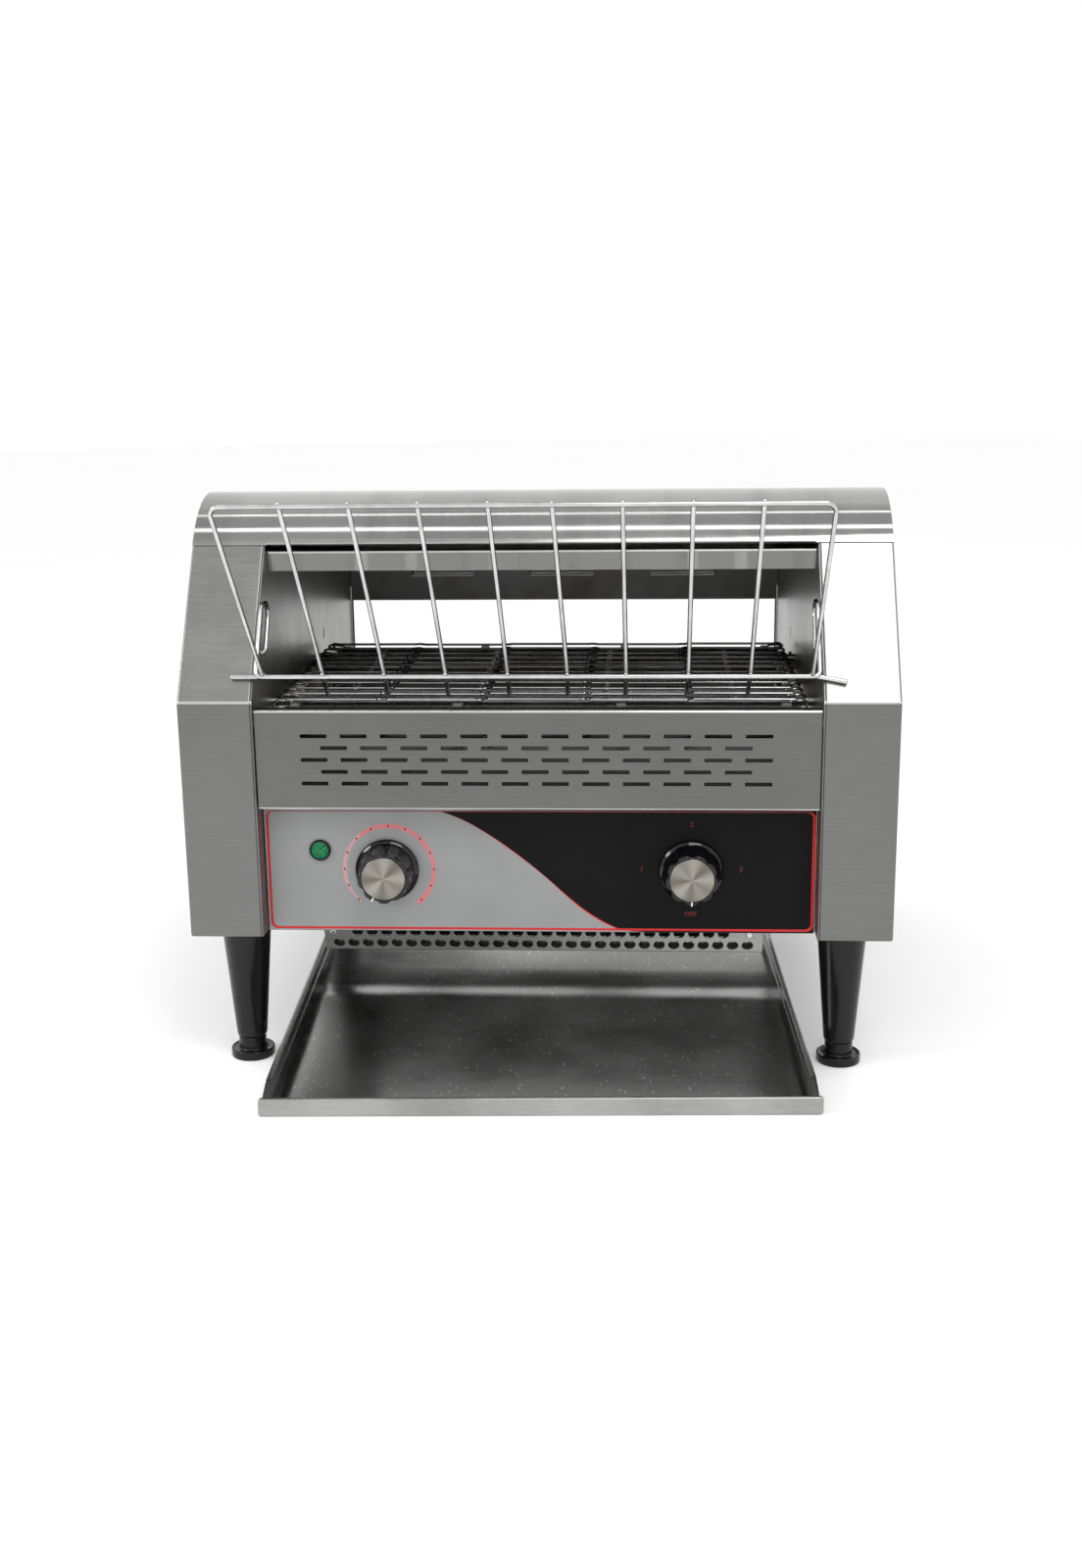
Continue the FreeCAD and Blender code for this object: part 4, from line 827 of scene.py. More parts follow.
def housing(name, s):
    g = Geo()
    rings = []

    def ring(x, d):
        return [(s * x, y, z) for y, z in side_outline(d)]
    seq = []
    for k in range(6):
        a = math.pi / 2 * k / 5
        seq.append((235.0 - 1.6 + 1.6 * math.cos(a), 1.6 * (1 - math.sin(a))))
    for k in range(6):
        a = math.pi / 2 * k / 5
        seq.append((187.5 - 1.0 * math.sin(a), 1.0 * (1 - math.cos(a))))
    seq.append((186.5, 1.25))
    seq.append((186.9, 1.6))
    seq.append((233.6, 1.6))
    rings = [ring(x, d) for x, d in seq]
    first = len(g.f)
    loft(g, rings, False, False)
    cnt = len(rings[0])
    for j in range(first, len(g.f)):
        k = (j - first) % cnt
        pa, pb = side_outline(0.0)[k], side_outline(0.0)[(k + 1) % cnt]
        lo_z, hi_z = sorted((pa[1], pb[1]))
        if pa[0] > 70 or pb[0] > 70 or hi_z < 150 or (j - first) // cnt > 10:
            continue
        # the slanted face takes the lighter slant steel (painted light); the short bend under it takes the fold steel
        # (a painted highlight)
        g.m[j] = 2 if hi_z - lo_z > 20 and lo_z > 158 else (1 if hi_z - lo_z < 8 and hi_z < 172 else 0)
        if (j - first) // cnt < 3 and g.m[j] == 2:
            g.m[j] = 2
    slots = []
    for z in (60, 84):
        for i in range(15):
            slots.append([(b, a) for a, b in slot2(z + 8, 152 + 11 * i, 16, 4)])
    for x, d in ((235.0, 1.6), (233.6, 1.6)):
        rv, rf = flat_with_holes(side_outline(d), slots)
        g.add([(s * x, y, z) for y, z in rv], rf)
    for lp in slots:
        m = len(lp)
        g.add([(s * 235.0, y, z) for y, z in lp] + [(s * 233.6, y, z) for y, z in lp],
              [(k, (k + 1) % m, m + (k + 1) % m, m + k) for k in range(m)])
    return make(name, g, [M_house, M_fold_highlight, M_slant_painted_light], rep=("side_housing_" + ("left" if s < 0 else "right"),), sharp=32)


housing("housing_shell_left", -1)
housing("housing_shell_right", 1)


def chamber_wall(name, s):
    """Inner wall: one sheet, its front edge rounded, with a short slot near the rear."""
    g = Geo()
    out = side_outline(0.0, bend=3.0)
    dash = [(b, a) for a, b in slot2(162.0, 268.0 if s > 0 else 271.0, 9.0, 2.8)]
    holes = [dash, circle2(42, 136.5, 11.0, 32), circle2(262, 136.5, 11.0, 32), circle2(38.5, 187.6, 1.6, 14)]
    for x in (185.3, 186.5):
        rv, rf = flat_with_holes(out, holes)
        g.add([(s * x, y, z) for y, z in rv], rf)
    for q, lp in enumerate([out] + holes):
        m = len(lp)
        g.add([(s * 185.3, y, z) for y, z in lp] + [(s * 186.5, y, z) for y, z in lp],
              [(k, (k + 1) % m, m + (k + 1) % m, m + k) for k in range(m)], 0)
        if q == 0:
            for k in range(m):
                pa, pb = lp[k], lp[(k + 1) % m]
                # front edge faces get the painted highlight steel
                if min(pa[1], pb[1]) > 155 and max(pa[0], pb[0]) < 66:
                    g.m[len(g.m) - m + k] = 1
    return make(name, g, [M_wall, M_rim_highlight], rep=("inner_wall_" + ("left" if s < 0 else "right"),), bevel=0.35, seg=2)


chamber_wall("chamber_wall_left", -1)
chamber_wall("chamber_wall_right", 1)

# ================================================================ hood
g = Geo()
path = roof(0.0, 30, 18) + [(418.0, 178.0)]
inn = roof(1.2, 30, 18) + [(416.8, 178.0)]
ribbon(g, path, 1.2, -235.0, 235.0, inner=inn)
make("hood_sheet", g, M_hood, rep=("hood",), bevel=0.35, seg=2)

g = Geo()
# the hood's front edge between the housings: folded out on itself, then turned in
edge = [(C0[0] + NIN[0] * 1.3, C0[1] + NIN[1] * 1.3), (C0[0] - NIN[0] * 1.15, C0[1] - NIN[1] * 1.15)]
lipo = [on_arc(CEN1, RAD1 + 1.15, -ANG + math.radians(k)) for k in (0.6, 1.4, 2.2, 3.0)]
bead, _ = round2([edge[0], edge[1], lipo[1], lipo[3]], [1.0, 0.0])
ribbon(g, bead, -1.1, -183.9, 183.9)
make("hood_front_hem", g, M_hem, bevel=0.45, seg=3)

# ================================================================ slotted front panel
g = Geo()
loops = []
for row in range(5):
    cnt = 12 if row % 2 == 0 else 11
    for i in range(cnt):
        x = -0.7 - 26.45 * (cnt - 1) / 2.0 + 26.45 * i
        zc = 138.5 - 8.0 * row - 88.6
        loops.append(round_rect(x - 8.8, zc - 1.25, x + 8.8, zc + 1.25, 0.45, 3))
pth, runs = round2([(16.4, 88.6), (2.9, 88.6), (2.9, 155.8), (11.9, 155.8)], [1.3, 1.6])
a, b = runs[1]
loops = [[(x, s + 88.6 - pth[a][1]) for x, s in lp] for lp in loops]
# the top fold gets the painted highlight steel
ribbon(g, pth, -1.0, -184.9, 184.9, {1: loops}, runs, fold=1)
make("front_slotted_panel", g, [M_louvre, M_fold_highlight], rep=("front_louvre_panel",), bevel=0.22, seg=2)

# ================================================================ control panel and its label
KX, KZ = 102.0, 43.5
LX, LZ = -147.3, 56.8
g = Geo()
pth, runs = round2([(29.0, -0.8), (17.0, -0.8), (17.0, 88.0), (29.0, 88.0)], [1.4, 1.4])
a, b = runs[1]
z0 = pth[a][1]
hl = [circle2(-KX, KZ - z0, 5.2, 24), circle2(KX, KZ - z0, 5.2, 24), circle2(LX, LZ - z0, 6.7, 28)]
ribbon(g, pth, -1.2, -184.9, 184.9, {1: hl}, runs)
make("control_panel_sheet", g, M_panel, rep=("control_panel",), bevel=0.25, seg=2)


def smooth_path(pts, n=10):
    out = []
    for i in range(len(pts) - 1):
        p0 = Vector(pts[max(i - 1, 0)])
        p1, p2 = Vector(pts[i]), Vector(pts[i + 1])
        p3 = Vector(pts[min(i + 2, len(pts) - 1)])
        for k in range(n):
            t = k / n
            out.append(tuple(0.5 * ((2 * p1) + (p2 - p0) * t + (2 * p0 - 5 * p1 + 4 * p2 - p3) * t * t + (3 * p1 - p0 - 3 * p2 + p3) * t ** 3)))
    out.append(tuple(pts[-1]))
    return out


LAB = (-184.2, 0.0, 184.2, 87.2)
outer = round_rect(LAB[0], LAB[1], LAB[2], LAB[3], 1.0, 4)
frame_in = round_rect(-181.6, 2.5, 182.0, 83.75, 4.0, 8)
frame_out = round_rect(-183.3, 0.9, 184.0, 84.35, 4.6, 8)
wavy = smooth_path([(-110, 87.15), (-84, 86.8), (-68, 84.6), (-50, 77.9), (-31.0, 66.6), (-12.0, 52.6), (4.8, 38.4), (19.6, 24.8), (34, 13.2), (49.6, 4.0), (60, 1.2), (72, 0.95)], 8)
wave_hi, wave_lo = [], []
for i, p in enumerate(wavy):
    q = Vector(wavy[min(i + 1, len(wavy) - 1)]) - Vector(wavy[max(i - 1, 0)])
    q.normalize()
    nn = Vector((-q.y, q.x))
    f = i / (len(wavy) - 1)
    w = 0.10 + 0.85 * max(0.0, min(1.0, (f - 0.22) * 1.6)) * (0.72 + 0.38 * math.sin(f * 19.0 + 0.6))
    hi = Vector(p) + nn * 0.05
    lo = Vector(p) - nn * w
    wave_hi.append((hi.x, min(hi.y, 87.19)))
    wave_lo.append((lo.x, max(lo.y, 0.02)))


def below(path, x, z):
    """Whether (x, z) lies under the falling curve."""
    if x <= path[0][0]:
        return True
    for p, q in zip(path, path[1:]):
        if p[0] <= x <= q[0]:
            t = (x - p[0]) / max(q[0] - p[0], 1e-6)
            return z < p[1] + (q[1] - p[1]) * t
    return False


SC, SR = -KX + 1.0, 30.3


def swell(a):
    """Half width of the colour scale at angle a, in degrees clockwise from the top."""
    table = [(-141, 0.55), (-100, 1.25), (-60, 1.25), (-47, 1.2), (-42, 1.50), (40, 1.50), (75, 1.30), (95, 1.20), (110, 1.45), (142, 1.85)]
    for (a0, w0), (a1, w1) in zip(table, table[1:]):
        if a <= a1:
            return w0 + (w1 - w0) * max(0.0, (a - a0) / (a1 - a0))
    return table[-1][1]


arc_out, arc_in = [], []
for k in range(95):
    a = -140.0 + 282.0 * k / 94
    w = swell(a)
    r = math.radians(a)
    arc_out.append((SC + (SR + w) * math.sin(r), KZ + (SR + w) * math.cos(r)))
    arc_in.append((SC + (SR - w) * math.sin(r), KZ + (SR - w) * math.cos(r)))
scale_poly = arc_out + arc_in[::-1]
dots = [circle2(SC + SR * math.sin(math.radians(a)), KZ + SR * math.cos(math.radians(a)), 0.78, 10) for a in [-135 + 22.5 * k for k in range(13)]]
holes = [circle2(-KX, KZ, 5.4, 24), circle2(KX, KZ, 5.4, 24), circle2(LX, LZ, 6.7, 28)]


def glyphs(text, cx, cz, height):
    """Flat outlines of a short mark, as filled triangles in (x, z)."""
    cu = bpy.data.curves.new("mark", "FONT")
    cu.body = text
    cu.size = 1.0
    cu.align_x = "CENTER"
    cu.resolution_u = 3
    ob = bpy.data.objects.new("mark", cu)
    bpy.context.scene.collection.objects.link(ob)
    bpy.context.view_layer.update()
    me = bpy.data.meshes.new_from_object(ob)
    vs = [(v.co.x, v.co.y) for v in me.vertices]
    fs = [tuple(p.vertices) for p in me.polygons]
    bpy.data.objects.remove(ob)
    bpy.data.curves.remove(cu)
    bpy.data.meshes.remove(me)
    x0, x1 = min(v[0] for v in vs), max(v[0] for v in vs)
    y0, y1 = min(v[1] for v in vs), max(v[1] for v in vs)
    k = height / (y1 - y0)
    return [(cx + (v[0] - (x0 + x1) / 2) * k, cz + (v[1] - (y0 + y1) / 2) * k) for v in vs], fs


g = Geo()
rv, rf = flat_with_holes(outer, holes, [frame_in + frame_in[:1], frame_out + frame_out[:1], wave_hi, wave_lo, scale_poly + scale_poly[:1]] + [d + d[:1] for d in dots])
groups = [[], [], [], [], [], []]
for f in rf:
    cx = sum(rv[i][0] for i in f) / len(f)
    cz = sum(rv[i][1] for i in f) / len(f)
    under_lo, under_hi = below(wave_lo, cx, cz), below(wave_hi, cx, cz)
    if any(inside(d, cx, cz) for d in dots):
        k = 3
    elif inside(scale_poly, cx, cz):
        k = 5 if cx - SC < -19.0 else 4
    elif under_hi and not under_lo:
        k = 2
    elif inside(frame_in, cx, cz):
        k = 0 if under_lo else 1
    elif inside(frame_out, cx, cz):
        # the frame's top strip is dark red: a painted shadow under the slotted panel's overhang
        k = 2 if cz < 79.8 or abs(cx) > 179 else 3
    else:
        k = 0 if cx < 60 else 1
    groups[k].append(f)
base = None
for k, fs in enumerate(groups):
    g.add([(x, 16.6, z) for x, z in rv], fs, k)
edge_loops = [outer] + holes
for lp in edge_loops:
    m = len(lp)
    g.add([(x, 16.6, z) for x, z in lp] + [(x, 17.0, z) for x, z in lp], [(i, (i + 1) % m, m + (i + 1) % m, m + i) for i in range(m)], 0)
rv2, rf2 = flat_with_holes(outer, holes)
g.add([(x, 17.0, z) for x, z in rv2], rf2, 0)
make("control_label_print", g, [M_grey, M_black, M_red, M_dred_print_and_shadow, M_pink, M_pale], rep=("control_label",), weighted=False, sharp=20)

g = Geo()
for text, cx, cz in (("2", KX, KZ + 32.0), ("1", KX - 33.0, KZ + 1.0), ("3", KX + 33.0, KZ + 1.0), ("OFF", KX, KZ - 30.5)):
    vs, fs = glyphs(text, cx, cz, 3.3)
    m = len(vs)
    edges = {}
    for f in fs:
        for i in range(len(f)):
            e = (f[i], f[(i + 1) % len(f)])
            edges[e] = 1
    rim = [e for e in edges if (e[1], e[0]) not in edges]
    g.add([(x, 16.56, z) for x, z in vs] + [(x, 16.62, z) for x, z in vs],
          [tuple(f) for f in fs] + [tuple(m + i for i in f)[::-1] for f in fs] + [(a, b, m + b, m + a) for a, b in rim])
make("selector_marks", g, M_dred_print_and_shadow, weighted=False)

# ================================================================ knobs
KF = 15.8


def knob(side, s, capmat, point_deg):
    cx = s * KX
    body = "colour_dial" if s < 0 else "selector_dial"
    nm = "colour_knob" if s < 0 else "selector_knob"
    prof = [(0.0, KF), (20.6, KF), (21.2, KF - 0.25), (21.5, KF - 0.8), (21.5, KF - 2.2), (21.25, KF - 2.9), (20.7, KF - 3.5), (19.9, KF - 4.1), (19.2, KF - 4.8),
            (18.75, KF - 5.8), (18.55, KF - 7.0), (18.4, KF - 8.6), (18.2, KF - 10.4), (17.95, KF - 12.6), (17.65, KF - 15.0), (17.35, KF - 17.2),
            (17.35, KF - 19.2), (17.4, KF - 20.6), (17.35, KF - 21.4), (17.05, KF - 21.85), (16.5, KF - 22.05), (15.6, KF - 22.1), (14.95, KF - 22.1), (14.78, KF - 21.95), (14.78, KF - 21.0), (0.0, KF - 21.0)]
    lobes = 9

    def shape(k, t, r, h):
        if r < 15.2 or h > KF - 4.0:
            return r, h
        d = KF - h
        amp = 1.55 * max(0.0, min(1.0, (d - 4.0) / 4.5)) ** 1.3
        amp *= max(0.3, min(1.0, (r - 15.0) / 1.6))
        c = abs(math.cos(lobes * t / 2.0))
        scoop = 1.0 - c ** 0.55 if c > 0 else 1.0
        c2 = 0.5 - 0.5 * math.cos(lobes * t + math.pi)
        scoop = c2 ** 2.2
        return r - amp * scoop, h
    g = Geo()
    revolve(g, prof, (cx, KZ), "y", 180, shape=shape)
    make(nm + "_body", g, M_knob, body=body, rep=(nm + "_grip",), sharp=50)
    # spun metal cap with a rolled rim and a shallow dish
    prof = [(0.0, KF - 21.0), (14.6, KF - 21.0), (14.6, KF - 21.9), (14.45, KF - 22.2), (14.1, KF - 22.38), (13.6, KF - 22.4), (13.1, KF - 22.3), (12.7, KF - 22.22), (9.0, KF - 22.16), (4.5, KF - 22.12), (0.0, KF - 22.1)]
    g = Geo()
    revolve(g, prof, (cx, KZ), "y", 96)
    make(nm + "_disc", g, capmat, body=body, rep=(nm + "_cap",), sharp=50)
    # moulded pointer, painted
    a = math.radians(point_deg)
    g = Geo()
    ring = []
    for u, w in ((-0.45, 14.7), (0.45, 14.7), (0.45, 16.0), (0.45, 17.6), (-0.45, 17.6), (-0.45, 16.0)):
        ring.append((u, w))

    def at(u, w, y):
        return (cx + u * math.cos(a) + w * math.sin(a), y, KZ - u * math.sin(a) + w * math.cos(a))
    r0 = [at(u, w, KF - 21.2) for u, w in ring]
    r1 = [at(u, w, KF - 22.15) for u, w in ring]
    r2 = [at(u * 0.7, 16.3 + (w - 16.3) * 0.85, KF - 22.42) for u, w in ring]
    loft(g, [r0, r1, r2])
    make(nm + "_mark", g, M_white, body=body, rep=(nm + "_pointer",), bevel=0.08, seg=2)


knob("left", -1, M_capL, -152.0)
knob("right", 1, M_capR, 180.0)

# ================================================================ lamp
g = Geo()
revolve(g, [(5.85, 30.4), (6.5, 30.4), (6.5, 17.2), (7.25, 17.0), (7.3, 16.6), (7.3, 15.4), (7.1, 14.8), (6.7, 14.45), (6.3, 14.4), (6.0, 14.6), (5.85, 15.0), (5.85, 30.4)], (LX, LZ), "y", 64)
make("lamp_ring", g, M_bezel, rep=("lamp_bezel",), sharp=50)
g = Geo()


def facets(k, t, r, h):
    if k in (2, 3, 4) and r > 0.5:
        return r, h - 0.28 * abs(math.sin(t * (9 if k != 3 else 6) + 0.6 * k))
    return r, h


revolve(g, [(0.0, 25.0), (5.8, 25.0), (5.8, 14.9), (4.6, 14.0), (3.1, 13.45), (1.5, 13.15), (0.0, 13.05)], (LX, LZ), "y", 54, shape=facets)
make("lamp_cover", g, M_lamp, rep=("lamp_lens",), sharp=14, weighted=False)

# ================================================================ perforated belly plate
g = Geo()
TB = math.radians(70.0)
ct, sb = math.cos(TB), math.sin(TB)
pth, runs = round2([(41.6, -0.9), (41.6 + 27 * ct, -0.9 - 27 * sb), (41.6 + 27 * ct + 18.0, -0.9 - 27 * sb)], [1.4])
lps = []
for cnt, mid, s in ((29, -0.3, 21.1), (26, -1.8, 10.9)):
    for i in range(cnt):
        lps.append(circle2(mid - 10.18 * (cnt - 1) / 2.0 + 10.18 * i, s, 3.9, 18))
ribbon(g, pth, 1.0, -152.6, 152.6, {0: lps}, runs)
# inner stiffening strip a few millimetres behind the holes, in the bright fold steel: painted light seen through the
# lower holes
o_ = (41.6 + 27 * ct + 5.2, -0.9 - 27 * sb + 1.3)
ribbon(g, [o_, (o_[0] - 10.5 * ct, o_[1] + 10.5 * sb)], 0.8, -150.5, 150.5, mi=1)
make("belly_sheet", g, [M_belly, M_fold_highlight], rep=("belly_plate",), bevel=0.2, seg=2)

# ================================================================ top reflector
g = Geo()
rp, rruns = round2([(70.4, 237.9), (70.4, 252.2), (292.0, 252.2), (292.0, 237.9)], [2.2, 1.2])
# the rounded top folds get the painted highlight steel
ribbon(g, rp, -1.0, -184.8, 184.8, None, rruns, fold=1)
make("reflector_sheet", g, [M_refl, M_fold_highlight], rep=("top_reflector",), bevel=0.25, seg=2)

# ================================================================ rear vent tabs
# the tabs use the near-white steel, a painted highlight
g = Geo()
for x in (-103.5, 0.0, 103.5):
    tp, _ = round2([(411.2, 190.8), (405.4, 190.8), (404.8, 188.7)], [0.9])
    ribbon(g, tp, 0.9, x - 27.4, x + 27.4)
make("rear_vent_tabs", g, M_tab_highlight, bevel=0.2, seg=2)

# ================================================================ wire belt
BR, BSP = 17.5, 220.0
TOTAL = 2 * BSP + 2 * math.pi * BR


def on_belt(d, lift=0.0):
    d = d % TOTAL
    R = BR + lift
    if d < BSP:
        return 42.0 + d, 136.5 + R
    d -= BSP
    if d < math.pi * BR:
        return 262.0 + R * math.sin(d / BR), 136.5 + R * math.cos(d / BR)
    d -= math.pi * BR
    if d < BSP:
        return 262.0 - d, 136.5 - R
    d -= BSP
    return 42.0 - R * math.sin(d / BR), 136.5 - R * math.cos(d / BR)


g = Geo()
NS = 28
PIT = TOTAL / NS
cols = [-106.0, -37.0, 31.5, 101.0]
for i in range(NS):
    s0 = TOTAL * i / NS + 3.0
    off = [(1.1 if k % 2 == 0 else -1.1) + rnd.uniform(-0.5, 0.5) for k in range(len(cols) + 1)]
    pts = []

    def put(x, ds, lift=0.0):
        y, z = on_belt(s0 + ds, lift)
        pts.append((x, y, z))
    # left end: a hook that curls round the next wire
    put(-167.5, off[0] + PIT * 0.86, -0.9)
    put(-173.0, off[0] + PIT * 0.98, -0.7)
    put(-177.2, off[0] + PIT * 0.80, 0.2)
    put(-177.9, off[0] + PIT * 0.45, 0.3)
    put(-176.4, off[0] + PIT * 0.12, 0.2)
    put(-171.0, off[0])
    for k, c in enumerate(cols):
        dx = rnd.uniform(-0.6, 0.6)
        put(c - 3.4 + dx, off[k], 0.0)
        put(c - 2.0 + dx, off[k] - PIT * 0.10, 0.55)
        put(c + 2.0 + dx, off[k + 1] + PIT * 0.30, -0.25)
        put(c + 3.4 + dx, off[k + 1] + PIT * 0.04, 0.0)
    put(171.0, off[-1])
    put(176.4, off[-1] + PIT * 0.12, 0.2)
    put(177.9, off[-1] + PIT * 0.45, 0.3)
    put(177.2, off[-1] + PIT * 0.80, 0.2)
    put(173.0, off[-1] + PIT * 0.98, -0.7)
    put(167.5, off[-1] + PIT * 0.86, -0.9)
    wire(g, bend3(pts, 1.8, 26.0), 0.95, 9)
make("belt_mesh", g, M_belt, rep=("wire_belt",), merge=0, weighted=False, sharp=60)

# ================================================================ feed rack
BAR, TOPP, HOOK = (5.0, 177.6), (-62.2, 294.1), (38.5, 187.6)
lean = Vector((0, TOPP[0] - BAR[0], TOPP[1] - BAR[1])).normalized()
square = Vector((0, lean.z, -lean.y))
lift = 3.02
g = Geo()
rod = bend3([(-199, 7.95, 176.9), (182, 7.95, 176.9), (199.4, 5.85, 173.9)], 12.0)
wire(g, rod, 1.6, 14)
fr = [(-178.0, BAR[0] + lean.y * 1.56, BAR[1] + lean.z * 1.56), (-191.3, *TOPP), (183.2, *TOPP), (178.0, BAR[0] + lean.y * 1.56, BAR[1] + lean.z * 1.56)]
wire(g, bend3(fr, 6.5), 1.5, 14)
hx = 182.7
for s in (-1, 1):
    wire(g, bend3([(s * 149.9, *BAR), (s * hx, *BAR), (s * hx, 31.5, 220.0), (s * hx, 58.5, 220.0), (s * hx, *HOOK), (s * 189.5, *HOOK)], [4.0, 11.0, 11.0, 3.2], 8.0), 1.5, 14)
    blob(g, (s * 178.0, BAR[0] + 0.2, BAR[1] + 1.2), 2.3, 1.7, 1.8)
wire(g, [(-150, *BAR), (-50, *BAR), (50, *BAR), (150, *BAR)], 1.5, 14, ends=False)
make("rack_frame", g, M_rack, body="rack", rep=("feed_rack",), merge=0, weighted=False, sharp=60)
g = Geo()
for i in range(8):
    xt, xb = (-149.4, -107.3, -65.4, -23.3, 15.0, 57.1, 99.0, 140.9)[i], (-139.0, -98.7, -58.6, -18.1, 20.6, 58.6, 98.7, 138.6)[i]
    tip = Vector((xt, *TOPP)) + lean * 0.1 + square * lift
    ft = Vector((xb, *BAR)) + square * lift
    wire(g, bend3([tuple(tip), tuple(ft + lean * 1.7), (xb - 0.15, 11.5, 179.3), (xb - 0.3, 15.6, 172.7), (xb - 0.5, 27, 161.6)], 4.0), 1.5, 12)
    t = 3.2 / (TOPP[1] - BAR[1]) * 0.863
    up = Vector((xt, *TOPP)) + square * (lift * 0.5)
    blob(g, up, 1.6, 1.5, 1.9)
    dn = Vector((xb, *BAR)) + square * (lift * 0.5)
    blob(g, dn, 1.7, 1.5, 1.8)
    blob(g, (xb, 9.0, 176.0 + 0.6), 1.6, 1.4, 1.4)
make("rack_long_wires", g, M_rack, body="rack", rep=("rack_wires",), merge=0, weighted=False, sharp=60)

# ================================================================ toast tray
YAW = math.radians(2.2)


def tray_pt(x, y, z):
    c, s = math.cos(YAW), math.sin(YAW)
    return (-0.8 + c * x - s * y, 50.0 + s * x + c * y, z - 101.0)


g = Geo()
TH = 181.8
stations = []
for y, h in ((-107.4, 9.0), (-104.5, 10.6), (-101.0, 12.5), (-92.0, 14.9), (-84.0, 17.0), (-60.0, 17.0), (0.0, 17.0), (80.0, 17.0), (160.0, 17.0), (240.0, 17.0)):
    outp, _ = round2([(-TH, h), (-TH, 0.0), (TH, 0.0), (TH, h)], [1.8, 1.8])
    innp = offset2(outp, 1.2)
    ring = outp + innp[::-1]
    stations.append([tray_pt(x, y, z) for x, z in ring])
first = len(g.f)
loft(g, stations)
n = len(stations[0])
for j in range(first, len(g.f)):
    k = (j - first) % n
    mid = len(stations[0]) // 2
    a_, b_ = stations[0][k], stations[0][(k + 1) % n]
    if abs(a_[0] - b_[0]) < 40:
        g.m[j] = 1
make("tray_pan", g, [M_tray, M_trayw], body="tray", rep=("toast_tray",), bevel=0.3, seg=2)
g = Geo()
for s in (-1, 1):
    rings = []
    for y in (-84.0, -83.2, 0.0, 120.0, 239.4, 240.0):
        k = 0.75 if y in (-84.0, 240.0) else 1.0
        prof = []
        cx, cz, hw, hh, rr = TH - 1.7, 15.9, 1.85 * k, 1.25 * k, 1.1 * k
        for px, pz in round_rect(cx - hw, cz - hh, cx + hw, cz + hh, rr, 5):
            prof.append(tray_pt(s * px, y, pz))
        rings.append(prof)
    loft(g, rings)
make("tray_side_hems", g, M_lip, body="tray", sharp=40)
g = Geo()
lipp, _ = round2([(-99.0, 0.02), (-108.0, 0.02), (-108.0, 12.5), (-104.7, 12.5), (-104.7, 10.9)], [1.2, 1.3, 0.9])
inn = offset2(lipp, -0.9)
rings = []
for x, k in ((-184.0, 0.72), (-183.4, 0.93), (-182.0, 1.0), (182.0, 1.0), (183.4, 0.93), (184.0, 0.72)):
    ring = []
    for y, z in lipp + inn[::-1]:
        ring.append(tray_pt(x, -106.0 + (y + 106.0) * (k if y < -104 else 1.0), 6.2 + (z - 6.2) * k))
    rings.append(ring)
loft(g, rings)
make("tray_front_lip", g, M_lip, body="tray", bevel=0.2, seg=2)

# ================================================================ legs and feet
for cname, sx, ly in (("front_left", -1, 40.0), ("front_right", 1, 40.0), ("rear_left", -1, 385.0), ("rear_right", 1, 385.0)):
    lx = sx * 206.0
    g = Geo()
    revolve(g, [(5.1, -26.0), (5.1, -84.9), (5.6, -85.5), (9.4, -85.5), (10.1, -85.1), (10.5, -84.3), (10.7, -82.6), (12.2, -64.0), (13.7, -45.0), (15.2, -26.0), (16.9, -6.0),
                (17.15, -2.4), (17.2, -0.8), (17.0, -0.15), (16.6, -0.02), (0.0, -0.02), (0.0, -22.0), (5.1, -26.0)], (lx, ly), "z", 72)
    make("leg_cone_" + cname, g, M_leg, rep=("leg_" + cname,), sharp=40)
    g = Geo()
    revolve(g, [(0.0, -101.0), (14.2, -101.0), (14.9, -100.8), (15.2, -100.2), (15.2, -97.6), (15.05, -97.3), (15.05, -97.0), (15.2, -96.7), (15.2, -95.6), (15.0, -95.1), (14.5, -94.8), (13.9, -94.85), (13.4, -95.15), (10.9, -95.3),
                (10.2, -95.1), (9.75, -94.5), (9.6, -93.6), (9.6, -86.3), (9.3, -85.9), (5.0, -85.9), (5.0, -39.4), (4.6, -39.0), (0.0, -39.0)], (lx, ly), "z", 72)
    make("foot_disc_" + cname, g, M_leg, body="foot_" + cname + "_screw", rep=("foot_" + cname,), sharp=40)

# ================================================================ heater tubes with their coils
def heater(name, node, ys, z):
    g = Geo()
    for y in ys:
        revolve(g, [(0.0, -178.9), (3.7, -178.9), (3.95, -178.4), (3.95, 178.4), (3.7, 178.9), (0.0, 178.9)], (y, z), "x", 20)
    make(name, g, M_quartz, rep=(node,), merge=0, weighted=False)
    g = Geo()
    for y in ys:
        pts = []
        turns = 66
        for k in range(turns * 7 + 1):
            t = 2 * math.pi * k / 7.0
            pts.append((-170.0 + 340.0 * k / (turns * 7), y + 2.5 * math.sin(t), z + 2.5 * math.cos(t)))
        wire(g, pts, 0.35, 4, ends=False)
    make(name + "_coils", g, M_mach, merge=0, weighted=False)


heater("upper_quartz_tubes", "upper_heater_tubes", (105, 150, 195, 240), 243.5)
heater("lower_quartz_tubes", "lower_heater_tubes", (92, 152, 212), 136.5)

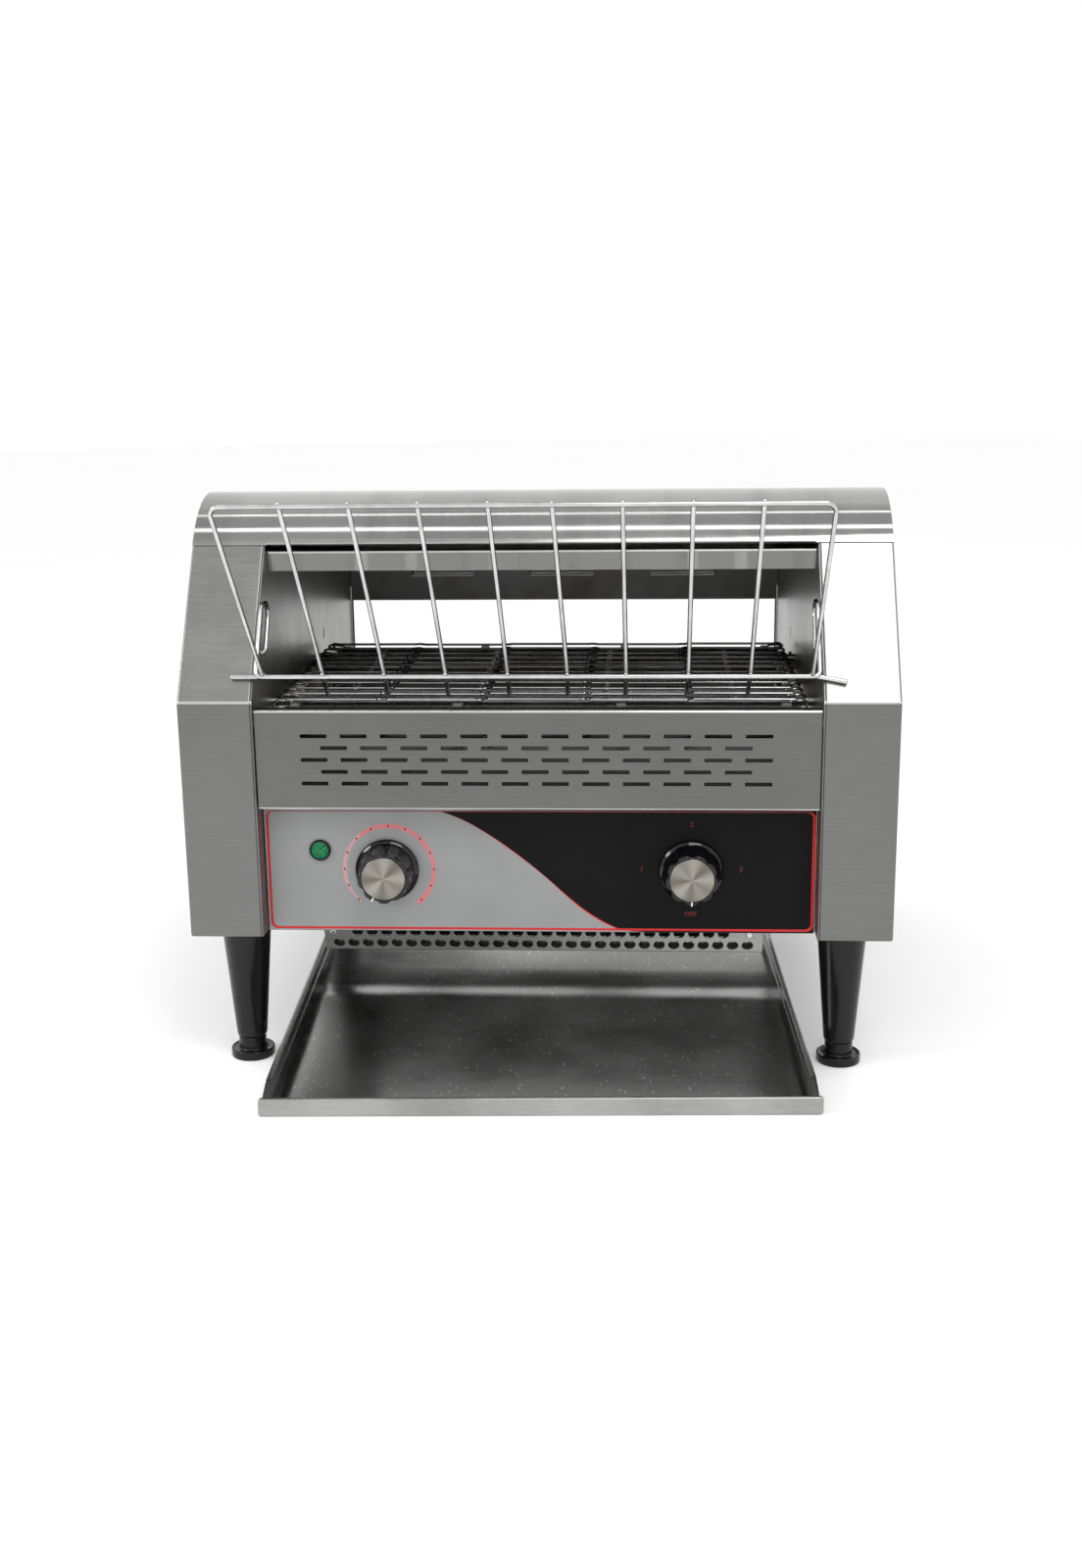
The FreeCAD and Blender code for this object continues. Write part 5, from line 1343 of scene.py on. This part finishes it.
# ================================================================ CAD nodes that stay as they are
KEEP = {
    "rear_panel": M_inner, "guide_plate": M_belly, "heat_shield": M_inner, "toast_chute": M_inner,
    "upper_heater_ends": M_ceram, "lower_heater_ends": M_ceram, "belt_runners": M_mach, "front_shaft": M_mach, "rear_shaft": M_mach,
    "front_belt_wheels": M_wheel, "rear_belt_wheels": M_wheel, "front_bearings": M_bronze, "rear_bearings": M_bronze,
    "drive_sprocket": M_mach, "motor_sprocket": M_mach, "drive_chain": M_mach, "gear_motor": M_motor, "motor_shaft": M_mach,
    "motor_bracket": M_mach, "colour_knob_shaft": M_mach, "selector_knob_shaft": M_mach, "speed_control": M_mould,
    "selector_switch": M_mould, "terminal_block": M_ceram, "terminal_bracket": M_mach, "cable_gland": M_mould, "leg_bolts": M_zinc,
    "cover_screws": M_zinc,
}
for n, m in KEEP.items():
    ob = NODE[n]
    ob.data.materials.clear()
    ob.data.materials.append(m)

# ================================================================ floor, light, camera
bpy.ops.mesh.primitive_circle_add(vertices=96, radius=7.0, fill_type="NGON", location=(0, 0, 0))
floor = bpy.context.object
floor.name = "studio_floor"
fm, fnt, fb = base_mat("studio_floor")
fn = noise_of(fnt, coords(fnt, (3.0, 3.0, 3.0)), 1.0, 3.0, 0.5)
link(fnt, blend_col(fnt, fn, (0.86, 0.86, 0.86), (0.88, 0.88, 0.88)), fb.inputs["Base Color"])
fb.inputs["Roughness"].default_value = 0.9
fb.inputs["Specular IOR Level"].default_value = 0.0
fb.inputs["Emission Color"].default_value = (1.0, 1.0, 1.0, 1.0)
fb.inputs["Emission Strength"].default_value = 0.16
floor.data.materials.append(fm)

world = bpy.data.worlds.new("studio")
bpy.context.scene.world = world
world.use_nodes = True
wn = world.node_tree
bg = wn.nodes["Background"]
wtc = wn.nodes.new("ShaderNodeTexCoord")
wsp = wn.nodes.new("ShaderNodeSeparateXYZ")
wn.links.new(wtc.outputs["Generated"], wsp.inputs[0])
ramp = wn.nodes.new("ShaderNodeValToRGB")
ramp.color_ramp.elements[0].position = 0.0
ramp.color_ramp.elements[0].color = (1.05, 1.05, 1.05, 1)
ramp.color_ramp.elements[1].position = 1.0
ramp.color_ramp.elements[1].color = (0.60, 0.60, 0.61, 1)
for pos, val in ((0.3, 1.04), (0.6, 1.02), (0.84, 0.98), (0.93, 0.66)):
    e = ramp.color_ramp.elements.new(pos)
    e.color = (val, val, val, 1)
wn.links.new(wsp.outputs["Z"], ramp.inputs["Fac"])
wn.links.new(ramp.outputs["Color"], bg.inputs["Color"])
bg.inputs["Strength"].default_value = 1.0


def area(name, loc, target, sx, sy, radiance, roll=0.0):
    li = bpy.data.lights.new(name, "AREA")
    li.shape = "RECTANGLE"
    li.size, li.size_y = sx, sy
    li.energy = radiance * math.pi * sx * sy
    ob = bpy.data.objects.new(name, li)
    d = (Vector(target) - Vector(loc)).normalized()
    ob.matrix_world = Matrix.Translation(Vector(loc)) @ d.to_track_quat("-Z", "Y").to_matrix().to_4x4() @ Matrix.Rotation(roll, 4, "Z")
    bpy.context.scene.collection.objects.link(ob)
    return ob


area("strip_front", (0.0, -0.275, 1.89), (0.0, -0.12, 0.3), 2.0, 0.13, 2.7)
area("strip_rear", (0.0, 0.334, 1.89), (0.0, 0.0, 0.3), 2.0, 0.055, 3.0)
area("softbox_right", (0.42, -0.94, 1.69), (0.1, 0.0, 0.3), 0.82, 0.78, 4.6)
area("window_left", (-0.92, -0.45, 0.68), (-0.10, -0.17, 0.15), 0.34, 0.30, 9.0)

cam_data = bpy.data.cameras.new("camera")
cam_data.sensor_fit = "AUTO"
cam_data.sensor_width = 36.0
cam_data.lens = 40.5
cam_data.clip_start = 0.02
cam = bpy.data.objects.new("camera", cam_data)
bpy.context.scene.collection.objects.link(cam)
yaw, pitch, roll = 0.05856, 0.25231, 0.012217
R = (Matrix.Rotation(yaw, 3, "Z") @ Matrix.Rotation(-pitch, 3, "X") @ Matrix.Rotation(roll, 3, "Y"))
right, fwd, up = R.col[0], R.col[1], R.col[2]
m = Matrix.Identity(4)
for i in range(3):
    m[i][0], m[i][1], m[i][2] = right[i], up[i], -fwd[i]
m[0][3], m[1][3], m[2][3] = 0.068492, -1.290167, 0.495912
cam.matrix_world = m
bpy.context.scene.camera = cam
bpy.context.scene.view_settings.view_transform = "Standard"

bpy.context.view_layer.update()
